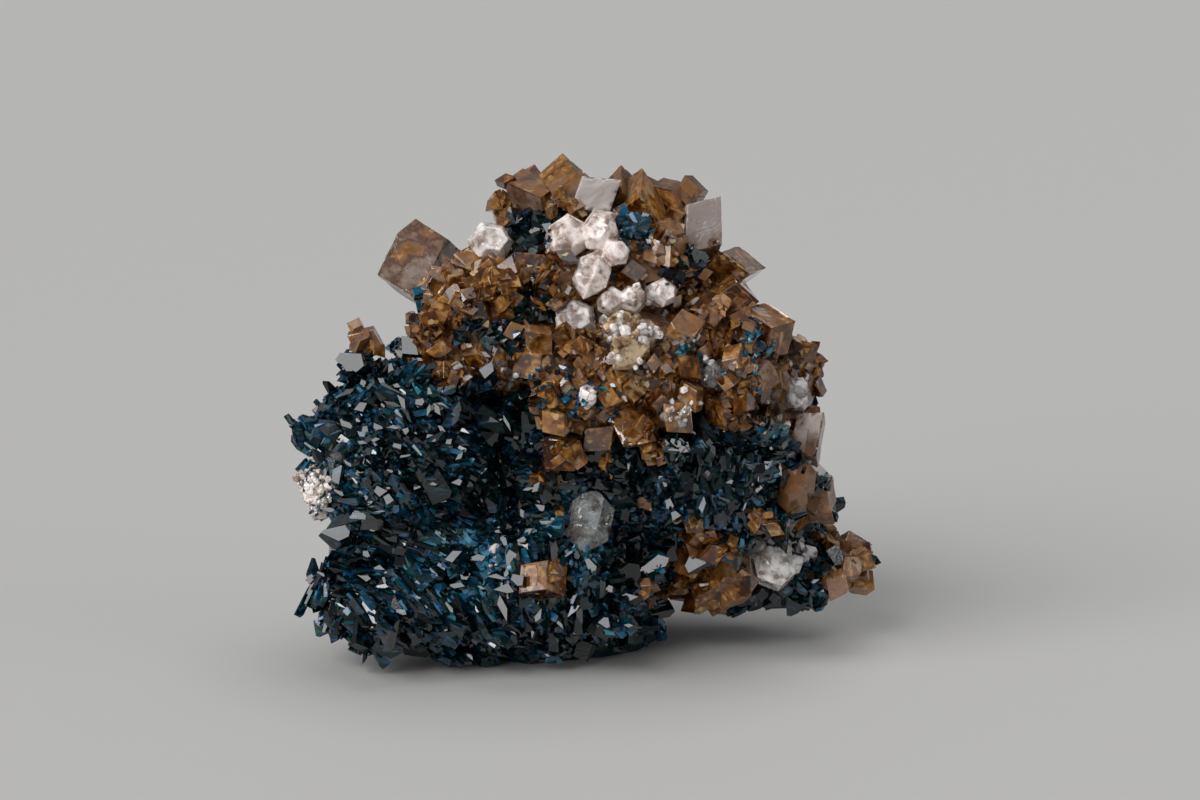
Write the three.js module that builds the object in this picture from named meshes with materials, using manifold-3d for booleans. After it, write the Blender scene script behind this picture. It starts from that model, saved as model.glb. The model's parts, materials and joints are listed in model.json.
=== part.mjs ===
// A mineral specimen: a dark blue-green mass of grown-together lazulite crystals under a crown of brown
// siderite rhombs, with single quartz crystals seated in both.
// Millimetres, +Z up. The front faces -Y, and the origin is the middle of the footprint, on the surface
// that the specimen stands on.
import * as THREE from "three";
import { ConvexGeometry } from "three/addons/geometries/ConvexGeometry.js";
import { ImprovedNoise } from "three/addons/math/ImprovedNoise.js";
import { mergeVertices } from "three/addons/utils/BufferGeometryUtils.js";
import Module from "manifold-3d";

const wasm = await Module();
wasm.setup();

// Driving dimensions
const specimen = { width: 64.5, depth: 41, height: 55.5 };
const socketGap = 0.3; // clearance between a crystal and the socket it sits in
const crystalGrowth = 2.8 * socketGap; // a socket's lengths over its crystal's, to clear slanted faces too
const lumpGrowth = 1.6 * socketGap;
const viewTilt = THREE.MathUtils.degToRad(10); // the front view looks down by this much
const lazulite = { width: 4.6, thickness: 3.2, length: 7, spacing: 7.4 };
const siderite = { edge: 3.8, spacing: 6.6 };
const axisAngle = THREE.MathUtils.degToRad(64.6); // between a siderite rhomb's edges and its three-fold axis
const faceAngle = THREE.MathUtils.degToRad(77); // of the rhomb's faces
const lumpCorners = 22;
const lumpRoughness = 0.14; // how far a lump's corners wander, as a share of its radius
const lumpSwell = 1.07; // makes up for the flats between the corners
const footHeight = 2.4; // crystals stay above this, so that the specimen rests on its flat foot
const elbowRoom = 0.8; // from a crystal placed by hand to the middle of the next one

const half = new THREE.Vector3(specimen.width / 2, specimen.depth / 2, specimen.height);

const materials = {
  lazulite: new THREE.MeshStandardMaterial({ color: "#123846", roughness: 0.15, metalness: 0 }),
  siderite: new THREE.MeshStandardMaterial({ color: "#9a6a3c", roughness: 0.35, metalness: 0 }),
  quartz: new THREE.MeshStandardMaterial({ color: "#ddd3cd", roughness: 0.2, metalness: 0 }),
};

// The masses that the crystals grow on. Places and radii are shares of half the width, half the depth and
// the height. Coarse is the size of a lump's crystals against the usual one, and sweep is the way they lie.
const lumps = {
  lazulite: [
    { at: [0, 0.15, 0.39], radii: [0.62, 0.68, 0.33], coarse: 1.1, sweep: [0.7, 0, -0.5] },
    { at: [-0.58, -0.22, 0.415], radii: [0.33, 0.58, 0.185], coarse: 0.82, sweep: [0.85, -0.2, -0.45] },
    { at: [-0.49, -0.27, 0.26], radii: [0.32, 0.42, 0.1], coarse: 0.85, sweep: [0.8, 0.2, 0.5] },
    { at: [-0.59, -0.45, 0.14], radii: [0.29, 0.36, 0.085], coarse: 0.9, sweep: [0.9, 0, 0.25] },
    { at: [-0.15, -0.42, 0.185], radii: [0.33, 0.4, 0.13], coarse: 0.85, sweep: [0.7, 0, 0.6] },
    { at: [0.43, -0.28, 0.385], radii: [0.3, 0.46, 0.135], coarse: 0.85, sweep: [0.8, 0, 0.35] },
    { at: [0.63, 0.2, 0.17], radii: [0.27, 0.38, 0.085], coarse: 1.05, sweep: [0.7, 0.3, 0.5] },
    { at: [-0.14, 0.08, 0.06], radii: [0.4, 0.46, 0.13], coarse: 1.2, sweep: [0.6, 0.4, -0.6] },
    { at: [-0.32, 0.44, 0.37], radii: [0.43, 0.42, 0.27], coarse: 1.25, sweep: [0.5, 0, 0.8] },
    { at: [0.36, 0.38, 0.4], radii: [0.4, 0.48, 0.27], coarse: 1.25, sweep: [-0.6, 0, 0.7] },
  ],
  siderite: [
    { at: [0.08, 0.05, 0.74], radii: [0.33, 0.5, 0.16], coarse: 1.25 },
    { at: [-0.26, -0.14, 0.65], radii: [0.28, 0.4, 0.125], coarse: 0.85 },
    { at: [0.41, 0, 0.6], radii: [0.24, 0.48, 0.15], coarse: 1.1 },
    { at: [0.12, -0.34, 0.585], radii: [0.32, 0.38, 0.125], coarse: 0.8 },
    { at: [0.66, 0.1, 0.4], radii: [0.11, 0.36, 0.17], coarse: 1.05 },
  ],
};

// A repeatable stream of random numbers from 0 to 1.
function randomStream(seed) {
  let state = seed;
  return () => {
    state = (state + 0x6d2b79f5) | 0;
    let t = Math.imul(state ^ (state >>> 15), 1 | state);
    t = (t + Math.imul(t ^ (t >>> 7), 61 | t)) ^ t;
    return ((t ^ (t >>> 14)) >>> 0) / 2 ** 32;
  };
}

// A closed geometry as a solid that can be joined and cut.
function solidOf(geometry) {
  const bare = new THREE.BufferGeometry();
  bare.setAttribute("position", geometry.getAttribute("position"));
  bare.setIndex(geometry.getIndex());
  const merged = mergeVertices(bare, 1e-4);
  return new wasm.Manifold(
    new wasm.Mesh({
      numProp: 3,
      vertProperties: new Float32Array(merged.getAttribute("position").array),
      triVerts: new Uint32Array(merged.getIndex().array),
    }),
  );
}

const union = (solids) => solids.reduce((whole, next) => whole.add(next));
const largestPiece = (solid) => solid.decompose().sort((a, b) => b.volume() - a.volume())[0];

// The lump's centre and radii in millimetres.
function measured(lump) {
  return {
    centre: new THREE.Vector3(...lump.at).multiply(half),
    radii: new THREE.Vector3(...lump.radii).multiply(half),
  };
}

// Evenly spread directions, on a spiral from pole to pole.
function spreadDirections(count) {
  return Array.from({ length: count }, (_, i) => {
    const height = 1 - (2 * (i + 0.5)) / count;
    const round = i * Math.PI * (3 - Math.sqrt(5));
    const flat = Math.sqrt(1 - height * height);
    return new THREE.Vector3(flat * Math.cos(round), flat * Math.sin(round), height);
  });
}

const roughness = new ImprovedNoise();

// An uneven mass with flat facets. Grow adds to it all round.
function lumpGeometry(lump, grow) {
  const { centre, radii } = measured(lump);
  const corners = spreadDirections(lumpCorners).map((direction) => {
    const wander = roughness.noise(direction.x * 2 + lump.at[0] * 9, direction.y * 2, direction.z * 2);
    const corner = direction.clone().multiply(radii).multiplyScalar(lumpSwell + lumpRoughness * wander);
    return corner.addScaledVector(direction, grow).add(centre);
  });
  return new ConvexGeometry(corners);
}

// Crystal forms, each centred on its own middle

// A rhombohedron with its three-fold axis along Z: a box whose edges lean away from that axis.
function rhombGeometry(lengths) {
  const out = Math.sin(axisAngle);
  const edges = lengths.map((length, k) => {
    const round = (k * 2 * Math.PI) / 3;
    const edge = new THREE.Vector3(out * Math.cos(round), out * Math.sin(round), Math.cos(axisAngle));
    return edge.multiplyScalar(length);
  });
  return new THREE.BoxGeometry(1, 1, 1).applyMatrix4(new THREE.Matrix4().makeBasis(...edges));
}

// The same rhombohedron standing on a face: its faces are parallelograms, and the one on top faces up Z.
function slabGeometry([a, b, c]) {
  const slant = Math.cos(faceAngle);
  const edges = [
    new THREE.Vector3(a, 0, 0),
    new THREE.Vector3(b * slant, b * Math.sin(faceAngle), 0),
    new THREE.Vector3(c * slant, c * slant, c),
  ];
  return new THREE.BoxGeometry(1, 1, 1).applyMatrix4(new THREE.Matrix4().makeBasis(...edges));
}

// A stubby six-sided quartz crystal, seen end on: its top slopes in to a broad flat.
function stubGeometry(lengths) {
  const [x, y, z] = lengths.map((length) => length / 2);
  const ring = (share, height) =>
    [0, 1, 2, 3, 4, 5].map((k) => {
      const round = (k * Math.PI) / 3;
      return new THREE.Vector3(x * share * Math.cos(round), y * share * Math.sin(round), height);
    });
  return new ConvexGeometry([...ring(0.62, z), ...ring(1.06, z * 0.35), ...ring(0.9, -z)]);
}

// A six-sided prism along Z with a pyramid at each end.
function prismGeometry([width, , length]) {
  const radius = width / 2;
  const tip = length / 2;
  const shoulder = tip - radius * 0.9;
  const profile = [
    new THREE.Vector2(0, -tip),
    new THREE.Vector2(radius, -shoulder),
    new THREE.Vector2(radius, shoulder),
    new THREE.Vector2(0, tip),
  ];
  return new THREE.LatheGeometry(profile, 6);
}

// A leaning bipyramid, as lazulite's is, with a short edge in place of its upper tip. Its long axis is Z.
function wedgeGeometry(lengths) {
  const [x, y, z] = lengths.map((length) => length / 2);
  const lean = x * 0.22;
  return new ConvexGeometry([
    new THREE.Vector3(lean + x * 0.24, y * 0.06, z),
    new THREE.Vector3(lean - x * 0.36, -y * 0.06, z * 0.94),
    new THREE.Vector3(-lean, 0, -z),
    new THREE.Vector3(x, y * 0.1, z * 0.14),
    new THREE.Vector3(-x, -y * 0.1, -z * 0.14),
    new THREE.Vector3(x * 0.1, y, -z * 0.08),
    new THREE.Vector3(-x * 0.1, -y, z * 0.1),
  ]);
}

// A crystal placed by hand, as the front view shows it. At is the share of half the width to the right of
// the middle and the share of the height up the view. Size is three lengths in millimetres. Turn is three
// angles in degrees: nod about X, spin about the upright, then lean in the plane of the view. Proud is how
// far the middle stands out of the mass, in millimetres.
const placer = (form) => (at, size, turn, proud) => ({ form, at, size, turn, proud });
const rhomb = placer(rhombGeometry);
const slab = placer(slabGeometry);
const stub = placer(stubGeometry);
const prism = placer(prismGeometry);
const wedge = placer(wedgeGeometry);

// The siderite crystals that give the crown its outline and its face
const crown = [
  rhomb([-0.17, 0.905], [3.6, 5.2, 4.6], [-10, -150, 45], 0.8),
  rhomb([-0.03, 0.92], [3.6, 5.4, 5.6], [115, -145, -30], 0.4),
  rhomb([-0.27, 0.88], [2.8, 2.6, 2], [20, 10, 70], 0.8),
  rhomb([0.115, 0.905], [3.6, 3.9, 4], [170, -20, -70], 0.4),
  rhomb([0.22, 0.91], [2.8, 2.6, 2.8], [60, 10, 40], 0.6),
  rhomb([0.3, 0.905], [3.4, 3.2, 3], [35, 80, 10], 0.6),
  rhomb([0.365, 0.915], [2.4, 2.2, 2.4], [50, 20, 60], 0.8),
  slab([0.395, 0.835], [3.9, 5.2, 4.2], [86, 0, -14], 1.6),
  rhomb([0.265, 0.795], [3.2, 3, 3], [60, 0, 30], 0.8),
  slab([0.035, 0.885], [4.2, 3.6, 3], [86, -8, 6], 1.6),
  rhomb([0.51, 0.765], [4.2, 3.8, 3.6], [-20, 60, 30], 0.6),
  rhomb([0.5, 0.7], [3.2, 3.2, 3], [50, 30, -20], 0.6),
  rhomb([0.54, 0.63], [3, 3.2, 3], [30, 10, 60], 0.6),
  rhomb([0.62, 0.655], [3, 3, 2.8], [0, 40, 10], 0.4),
  rhomb([-0.285, 0.73], [4.4, 4.2, 3.6], [40, -30, 15], 1),
  rhomb([-0.37, 0.672], [3.4, 3.2, 3], [70, 30, 0], 0.8),
  rhomb([-0.44, 0.745], [3, 3, 2.8], [30, 60, 45], 0.8),
  rhomb([-0.17, 0.755], [3.2, 3.2, 3], [15, 20, 30], 0.4),
  rhomb([0.17, 0.45], [3.4, 3.4, 3.2], [30, 15, 10], 1),
  rhomb([0.3, 0.48], [3, 3, 2.8], [50, 45, 20], 0.8),
  rhomb([0.46, 0.47], [3, 3, 2.8], [20, 70, 35], 0.8),
  rhomb([-0.16, 0.62], [3, 2.8, 2.8], [60, 50, 20], 0.6),
  rhomb([-0.05, 0.57], [2.8, 2.8, 2.6], [25, 0, 50], 0.6),
  slab([0.74, 0.42], [3, 4.8, 3.6], [84, -18, -4], 1.4),
  rhomb([0.735, 0.345], [2.8, 2.8, 2.8], [30, 20, 0], 1.2),
  slab([0.72, 0.29], [3.4, 3.6, 3.4], [70, -22, 30], 1.2),
  rhomb([0.67, 0.52], [3.2, 3.2, 3], [60, 20, 10], 0.8),
];

// The seated crystals, single ones and clusters. Each is a node of its own.
const sideriteSeated = {
  siderite_rhomb_left: [rhomb([-0.56, 0.77], [6.4, 5.4, 8.2], [-55, -135, 8], 3.4)],
  siderite_cluster_low_right: [
    rhomb([0.41, 0.145], [4.6, 4.4, 4.4], [100, 10, 35], 0.4),
    rhomb([0.5, 0.145], [4, 4.2, 4], [20, 70, -25], 0.6),
    rhomb([0.37, 0.21], [3.4, 3.4, 3.2], [140, 30, 70], 0.6),
    rhomb([0.45, 0.2], [3.6, 3.4, 3.6], [65, -50, 10], 0.8),
  ],
  siderite_cluster_right_tip: [
    rhomb([0.9, 0.175], [4.2, 4.4, 4], [110, 65, 20], 0.4),
    rhomb([0.83, 0.2], [3.4, 3.4, 3.2], [30, 0, 50], 1),
    rhomb([0.79, 0.235], [3, 2.8, 2.8], [70, 20, 10], 1),
  ],
  siderite_rhomb_right: [rhomb([0.69, 0.6], [3.8, 3.6, 3.6], [12, 30, -20], 1.8)],
  siderite_rhomb_far_left: [rhomb([-0.745, 0.615], [2.8, 2.8, 2.7], [40, 30, 5], 0.2)],
  siderite_rhomb_mid_left: [rhomb([-0.475, 0.56], [3.4, 3.2, 2.8], [35, -10, 60], 1.2)],
  siderite_rhomb_low: [rhomb([-0.138, 0.153], [3, 3.1, 3.2], [75, 25, 100], 1.5)],
  siderite_rhomb_hollow: [rhomb([-0.072, 0.4], [3, 3, 2.8], [55, 12, 20], 0.9)],
  siderite_rhomb_centre: [rhomb([0.235, 0.4], [2.7, 2.7, 2.5], [35, 40, 15], 0.9)],
};

const quartzSeated = {
  quartz_cluster_upper: [
    stub([-0.05, 0.808], [4.6, 5, 4.4], [72, 8, 28], 1.6),
    stub([0.055, 0.818], [4, 4.8, 4.2], [78, -12, 8], 1.8),
    stub([0.1, 0.78], [3, 3, 3.2], [66, 6, 50], 1.6),
    prism([0.025, 0.742], [4.2, 4.2, 6], [72, 10, 20], 1.4),
  ],
  quartz_cluster_yellow: [
    prism([0.15, 0.595], [4, 4, 6], [70, -14, 35], 0.8),
    stub([0.12, 0.64], [3.2, 3.2, 3.2], [50, 10, 15], 0.6),
    stub([0.2, 0.625], [3, 2.8, 3], [60, -30, 50], 0.6),
  ],
  quartz_pair: [
    stub([0.09, 0.695], [2.9, 2.9, 3], [64, 12, 30], 1),
    stub([0.155, 0.697], [2.8, 3, 3.2], [78, -10, 12], 1),
  ],
  quartz_crust_left: [
    stub([-0.935, 0.355], [2.8, 2.8, 3], [40, 20, 10], 0.6),
    stub([-0.915, 0.32], [2.6, 2.8, 2.8], [70, -20, 40], 0.6),
    stub([-0.895, 0.285], [2.2, 2.4, 2.6], [20, 40, 60], 0.6),
  ],
  quartz_left: [stub([-0.32, 0.813], [5.2, 4.6, 4.8], [80, 6, 4], 2.4)],
  quartz_middle: [stub([-0.028, 0.66], [4.7, 4.6, 4.4], [76, 4, 24], 1.4)],
  quartz_pink: [stub([0.25, 0.71], [3.2, 3, 3.2], [74, 14, 36], 1)],
  quartz_low: [prism([0.015, 0.27], [4.9, 4.9, 8.4], [52, -30, -8], 1.8)],
  quartz_low_right: [stub([0.645, 0.17], [4.8, 5.4, 4.6], [74, 16, -40], 1.4)],
  quartz_grey: [stub([0.425, 0.55], [2.6, 2.7, 2.7], [66, 22, 42], 0.8)],
  quartz_small: [prism([0.014, 0.512], [2.1, 2.1, 3.4], [72, 60, 20], 0.7)],
  quartz_right_edge: [prism([0.715, 0.51], [3.2, 3.2, 5.6], [20, 20, 30], 0.8)],
  quartz_left_low: [prism([-0.83, 0.215], [3, 3, 5.6], [24, 10, 14], 0.8)],
};

const lazuliteSeated = {
  lazulite_crown_left: [
    wedge([-0.18, 0.83], [3.6, 3, 6], [60, 10, -50], 1),
    wedge([-0.12, 0.85], [2.8, 2.6, 4.4], [70, 30, 20], 1),
  ],
  lazulite_crown_middle: [
    wedge([0.155, 0.835], [3.8, 3.4, 5.4], [70, 30, 40], 1),
    wedge([0.2, 0.855], [3, 2.8, 4.4], [50, -20, -30], 1),
  ],
  lazulite_crown_right: [wedge([0.355, 0.755], [2.6, 2.4, 6], [40, 0, -20], 0.8)],
};

// Lazulite crystals of the mass that are large enough to be placed by hand
const lazuliteLarge = [
  wedge([-0.62, 0.6], [4.4, 2.6, 7.4], [60, 30, 50], 0.8),
  wedge([-0.78, 0.565], [4.4, 3, 7], [50, -10, 65], 0.8),
  wedge([-0.87, 0.53], [3.4, 2.8, 5.6], [30, -20, 10], 0.6),
  wedge([-0.62, 0.46], [3.4, 2.6, 6.4], [80, 10, 65], 0.8),
  wedge([-0.5, 0.49], [3.2, 2.6, 6], [60, 30, 70], 0.8),
  wedge([-0.72, 0.4], [3.4, 2.8, 6], [50, -20, 40], 0.8),
  wedge([-0.52, 0.39], [3.6, 2.4, 6.2], [65, 0, -60], 0.8),
  wedge([-0.34, 0.44], [3.2, 2.8, 6.4], [40, 20, 45], 0.8),
  wedge([-0.72, 0.31], [4, 3, 6.6], [70, 20, 20], 1),
  wedge([-0.76, 0.27], [4.2, 2.2, 7.6], [20, 10, 62], 0.6),
  wedge([-0.29, 0.11], [3.2, 2.6, 7.4], [30, 0, 28], 0.8),
  wedge([-0.2, 0.14], [3.4, 2.8, 7], [40, 10, 35], 0.8),
  wedge([-0.42, 0.19], [4, 2.8, 8], [60, 0, -70], 0.8),
  wedge([0.2, 0.09], [4, 3.4, 6.6], [12, 30, -10], 0.4),
  wedge([0.29, 0.28], [3.6, 3, 6.4], [70, 10, 30], 1),
  wedge([0.6, 0.42], [3.6, 2.6, 6], [50, 20, 20], 0.8),
  wedge([-0.86, 0.06], [3.2, 2.8, 5.6], [70, 0, 70], 0.4),
  wedge([0.78, 0.1], [3.6, 3, 6.4], [60, 10, 75], 0.2),
];

// The front view: the way it looks, and its own upward direction
const look = new THREE.Vector3(0, Math.cos(viewTilt), -Math.sin(viewTilt));
const viewUp = new THREE.Vector3(0, Math.sin(viewTilt), Math.cos(viewTilt));
const allLumps = [...lumps.lazulite, ...lumps.siderite];

// Where a straight look at a place in the front view first meets the mass, and which way it faces there.
function surfaceInView([across, up]) {
  const start = new THREE.Vector3(across * half.x, 0, 0)
    .addScaledVector(viewUp, up * half.z)
    .addScaledVector(look, -specimen.depth * 2);
  let nearest = null;
  for (const lump of allLumps) {
    const { centre, radii } = measured(lump);
    const direction = look.clone().divide(radii).normalize();
    const ray = new THREE.Ray(start.clone().sub(centre).divide(radii), direction);
    const hit = ray.intersectSphere(new THREE.Sphere(new THREE.Vector3(), 1), new THREE.Vector3());
    if (!hit) continue;
    const point = hit.clone().multiply(radii).add(centre);
    const distance = point.clone().sub(start).dot(look);
    if (!nearest || distance < nearest.distance)
      nearest = { distance, point, outward: hit.clone().divide(radii).normalize() };
  }
  return nearest ?? rimInView(start);
}

// A place just off the mass's outline hangs on to the nearest lump's side.
function rimInView(start) {
  let nearest = null;
  for (const lump of allLumps) {
    const { centre, radii } = measured(lump);
    const point = new THREE.Ray(start, look).closestPointToPoint(centre, new THREE.Vector3());
    const reach = point.clone().sub(centre).divide(radii).length();
    if (!nearest || reach < nearest.reach) nearest = { reach, point };
  }
  return { point: nearest.point, outward: new THREE.Vector3() };
}

const viewTurn = new THREE.Quaternion().setFromUnitVectors(new THREE.Vector3(0, 0, 1), viewUp);
const turnAbout = (axis, degrees) =>
  new THREE.Quaternion().setFromAxisAngle(new THREE.Vector3(...axis), THREE.MathUtils.degToRad(degrees));

// A hand-placed crystal's middle and turn. It stands out towards the viewer as much as off the surface, so
// that it shows where the view has it.
function placedInView(crystal) {
  const { point, outward } = surfaceInView(crystal.at);
  const [nod, spin, lean] = crystal.turn;
  const turn = viewTurn
    .clone()
    .multiply(turnAbout([0, 1, 0], lean))
    .multiply(turnAbout([0, 0, 1], spin))
    .multiply(turnAbout([1, 0, 0], nod));
  const middle = point.clone().addScaledVector(look, -crystal.proud * 0.5);
  middle.addScaledVector(outward, crystal.proud * 0.5);
  return { ...crystal, middle, turn };
}

const crownPlaced = crown.map(placedInView);
const lazulitePlaced = lazuliteLarge.map(placedInView);
const seatedPlaced = [quartzSeated, sideriteSeated, lazuliteSeated]
  .flatMap((seated) => Object.values(seated).flat())
  .map(placedInView);
const handPlaced = [...crownPlaced, ...lazulitePlaced, ...seatedPlaced];

// Whether a point is inside a lump that is scaled by share.
function inside(point, lump, share) {
  const { centre, radii } = measured(lump);
  return point.clone().sub(centre).divide(radii).length() < share;
}

// Evenly spread places over a lump, where no other lump and no crystal placed by hand takes the room.
function openPlaces(lump, spacing) {
  const { centre, radii } = measured(lump);
  const power = 1.6;
  const products = [radii.x * radii.y, radii.x * radii.z, radii.y * radii.z];
  const mean = products.reduce((sum, product) => sum + product ** power, 0) / 3;
  const area = 4 * Math.PI * mean ** (1 / power);
  const isOpen = ({ point }) =>
    point.z > footHeight &&
    !allLumps.some((other) => other !== lump && inside(point, other, 1.02)) &&
    !handPlaced.some(({ middle, size }) => middle.distanceTo(point) < Math.max(...size) / 2 + elbowRoom);
  return spreadDirections(Math.round(area / spacing ** 2))
    .map((direction) => ({
      point: direction.clone().multiply(radii).add(centre),
      outward: direction.clone().divide(radii).normalize(),
    }))
    .filter(isOpen);
}

// Lazulite crystals lie along their lump's sweep, with their tips lifted off the surface.
function lazuliteCover(lump, random) {
  const spread = () => random() - 0.5;
  return openPlaces(lump, lazulite.spacing * lump.coarse).map(({ point, outward }) => {
    const along = new THREE.Vector3(...lump.sweep)
      .add(new THREE.Vector3(spread(), spread(), spread()).multiplyScalar(0.7))
      .addScaledVector(outward, 0.35 + 0.5 * random())
      .normalize();
    const across = new THREE.Vector3().crossVectors(along, outward).normalize();
    const turn = new THREE.Quaternion().setFromRotationMatrix(
      new THREE.Matrix4().makeBasis(across, new THREE.Vector3().crossVectors(along, across), along),
    );
    const scale = lump.coarse * (0.75 + 0.45 * random());
    const size = [lazulite.width, lazulite.thickness, lazulite.length].map((length) => length * scale);
    const middle = point.clone().addScaledVector(outward, 0.5 + 0.5 * random());
    return { form: wedgeGeometry, size, middle, turn };
  });
}

// Siderite rhombs stand at every angle.
function sideriteCover(lump, random) {
  return openPlaces(lump, siderite.spacing * lump.coarse).map(({ point, outward }) => {
    const turn = new THREE.Quaternion(random() - 0.5, random() - 0.5, random() - 0.5, random() - 0.5);
    const scale = lump.coarse * (0.7 + 0.5 * random());
    const shares = [1, 0.85 + 0.3 * random(), 0.85 + 0.3 * random()];
    const size = shares.map((share) => siderite.edge * scale * share);
    const middle = point.clone().addScaledVector(outward, 0.2 + 0.4 * random());
    return { form: rhombGeometry, size, middle, turn: turn.normalize() };
  });
}

// A crystal, or its socket when it grows. A wedge's faces slope so much that its socket grows twice as far.
function crystalSolid({ form, size, middle, turn }, growth) {
  const place = new THREE.Matrix4().compose(middle, turn, new THREE.Vector3(1, 1, 1));
  const extra = form === wedgeGeometry ? growth * 2 : growth;
  return solidOf(form(size.map((length) => length + extra)).applyMatrix4(place));
}

function clusterSolid(crystals, growth = 0) {
  return union(crystals.map((crystal) => crystalSolid(crystal, growth)));
}

// A grown-together mass of one mineral: its lumps and all the crystals on them.
function massSolid(mineral, crystals) {
  return union([...lumps[mineral].map((lump) => solidOf(lumpGeometry(lump, 0))), clusterSolid(crystals)]);
}

function massSocket(mineral, crystals) {
  const masses = lumps[mineral].map((lump) => solidOf(lumpGeometry(lump, lumpGrowth)));
  return union([...masses, clusterSolid(crystals, crystalGrowth)]);
}

const cutBy = (solid, sockets) => sockets.reduce((left, socket) => left.subtract(socket), solid);

// Everything below the surface that the specimen stands on
const ground = new THREE.BoxGeometry(specimen.width * 2, specimen.depth * 2, specimen.height);
const groundSolid = solidOf(ground.translate(0, 0, -specimen.height / 2));

function meshOf(name, solid, material) {
  const { numProp, vertProperties, triVerts } = solid.getMesh();
  const positions = new THREE.BufferAttribute(new Float32Array(vertProperties), numProp);
  const geometry = new THREE.BufferGeometry().setAttribute("position", positions);
  geometry.setIndex(new THREE.BufferAttribute(new Uint32Array(triVerts), 1));
  geometry.computeBoundingBox();
  const middle = geometry.boundingBox.getCenter(new THREE.Vector3());
  geometry.translate(-middle.x, -middle.y, -middle.z);
  geometry.computeVertexNormals();
  const mesh = new THREE.Mesh(geometry, material);
  mesh.name = name;
  mesh.position.copy(middle);
  return mesh;
}

const group = new THREE.Group();
const sockets = [groundSolid];

// A node is cut for those seated before it, and leaves its own socket in those that follow.
function seat(name, solid, socket, material) {
  group.add(meshOf(name, largestPiece(cutBy(solid, sockets)), material));
  sockets.push(socket);
}

function seatAll(seated, material) {
  for (const [name, crystals] of Object.entries(seated)) {
    const placed = crystals.map(placedInView);
    seat(name, clusterSolid(placed), clusterSolid(placed, crystalGrowth), material);
  }
}

// Single crystals and small clusters keep their whole shape, apart from where two of them meet.
seatAll(quartzSeated, materials.quartz);
seatAll(sideriteSeated, materials.siderite);
seatAll(lazuliteSeated, materials.lazulite);

// The siderite crown is one grown-together solid.
const sideriteRandom = randomStream(7);
const crownCrystals = [
  ...crownPlaced,
  ...lumps.siderite.flatMap((lump) => sideriteCover(lump, sideriteRandom)),
];
const crownSocket = massSocket("siderite", crownCrystals);
seat("siderite_crown", massSolid("siderite", crownCrystals), crownSocket, materials.siderite);

// The lazulite mass carries everything, and its foot is ground flat.
const lazuliteRandom = randomStream(3);
const massCrystals = [
  ...lazulitePlaced,
  ...lumps.lazulite.flatMap((lump) => lazuliteCover(lump, lazuliteRandom)),
];
const lazuliteMass = cutBy(massSolid("lazulite", massCrystals), sockets);
group.add(meshOf("lazulite_mass", largestPiece(lazuliteMass), materials.lazulite));

// The origin is the middle of the footprint.
const box = new THREE.Box3().setFromObject(group);
const middle = box.getCenter(new THREE.Vector3());
group.position.set(-middle.x, -middle.y, -box.min.z);

export default group;
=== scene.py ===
# A lazulite specimen: dark glassy lazulite under a crown of brown siderite, with milky quartz seated in both.
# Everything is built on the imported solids. Metres, +Z up, and the front faces -Y.
import json
import math

import bmesh
import bpy
import numpy as np
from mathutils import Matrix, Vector, noise
from mathutils.bvhtree import BVHTree
from mathutils.kdtree import KDTree


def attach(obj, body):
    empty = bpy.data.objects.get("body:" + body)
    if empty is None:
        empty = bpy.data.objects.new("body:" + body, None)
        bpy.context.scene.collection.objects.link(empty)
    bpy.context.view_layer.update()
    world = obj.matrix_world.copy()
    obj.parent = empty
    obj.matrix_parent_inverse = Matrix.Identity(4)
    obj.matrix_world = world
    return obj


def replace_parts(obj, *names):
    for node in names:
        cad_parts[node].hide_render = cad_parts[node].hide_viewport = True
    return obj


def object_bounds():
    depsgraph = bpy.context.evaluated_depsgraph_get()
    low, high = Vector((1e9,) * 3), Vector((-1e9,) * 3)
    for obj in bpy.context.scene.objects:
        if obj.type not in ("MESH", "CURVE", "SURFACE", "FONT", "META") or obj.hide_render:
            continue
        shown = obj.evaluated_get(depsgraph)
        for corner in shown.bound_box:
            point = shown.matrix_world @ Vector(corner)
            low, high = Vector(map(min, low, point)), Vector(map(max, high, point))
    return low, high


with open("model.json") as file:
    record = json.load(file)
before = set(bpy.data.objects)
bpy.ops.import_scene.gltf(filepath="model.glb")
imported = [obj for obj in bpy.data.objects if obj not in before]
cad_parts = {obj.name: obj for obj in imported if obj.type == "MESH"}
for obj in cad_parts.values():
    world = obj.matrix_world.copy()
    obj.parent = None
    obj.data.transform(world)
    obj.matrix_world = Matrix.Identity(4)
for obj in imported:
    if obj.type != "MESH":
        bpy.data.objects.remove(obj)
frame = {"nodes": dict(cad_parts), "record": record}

mm = 0.001
nodes = frame["nodes"]
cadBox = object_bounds()
print("frame loaded:", len(nodes), "nodes")


# The camera stands where the photograph's did, a little above the specimen.
cameraSetup = {
    "elevation": 10,
    "distance": 0.4,
    "lens": 108,
    "sensor": 36,
    "target": (1.67 * mm, 0, 28.2 * mm),
}


def setCamera(setup):
    data = bpy.data.cameras.new("camera")
    data.lens = setup["lens"]
    data.sensor_width = setup["sensor"]
    camera = bpy.data.objects.new("camera", data)
    bpy.context.scene.collection.objects.link(camera)
    tilt = math.radians(setup["elevation"])
    back = Vector((0, -math.cos(tilt), math.sin(tilt)))
    camera.location = Vector(setup["target"]) + back * setup["distance"]
    camera.rotation_euler = (math.radians(90) - tilt, 0, 0)
    bpy.context.scene.camera = camera


setCamera(cameraSetup)


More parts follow.
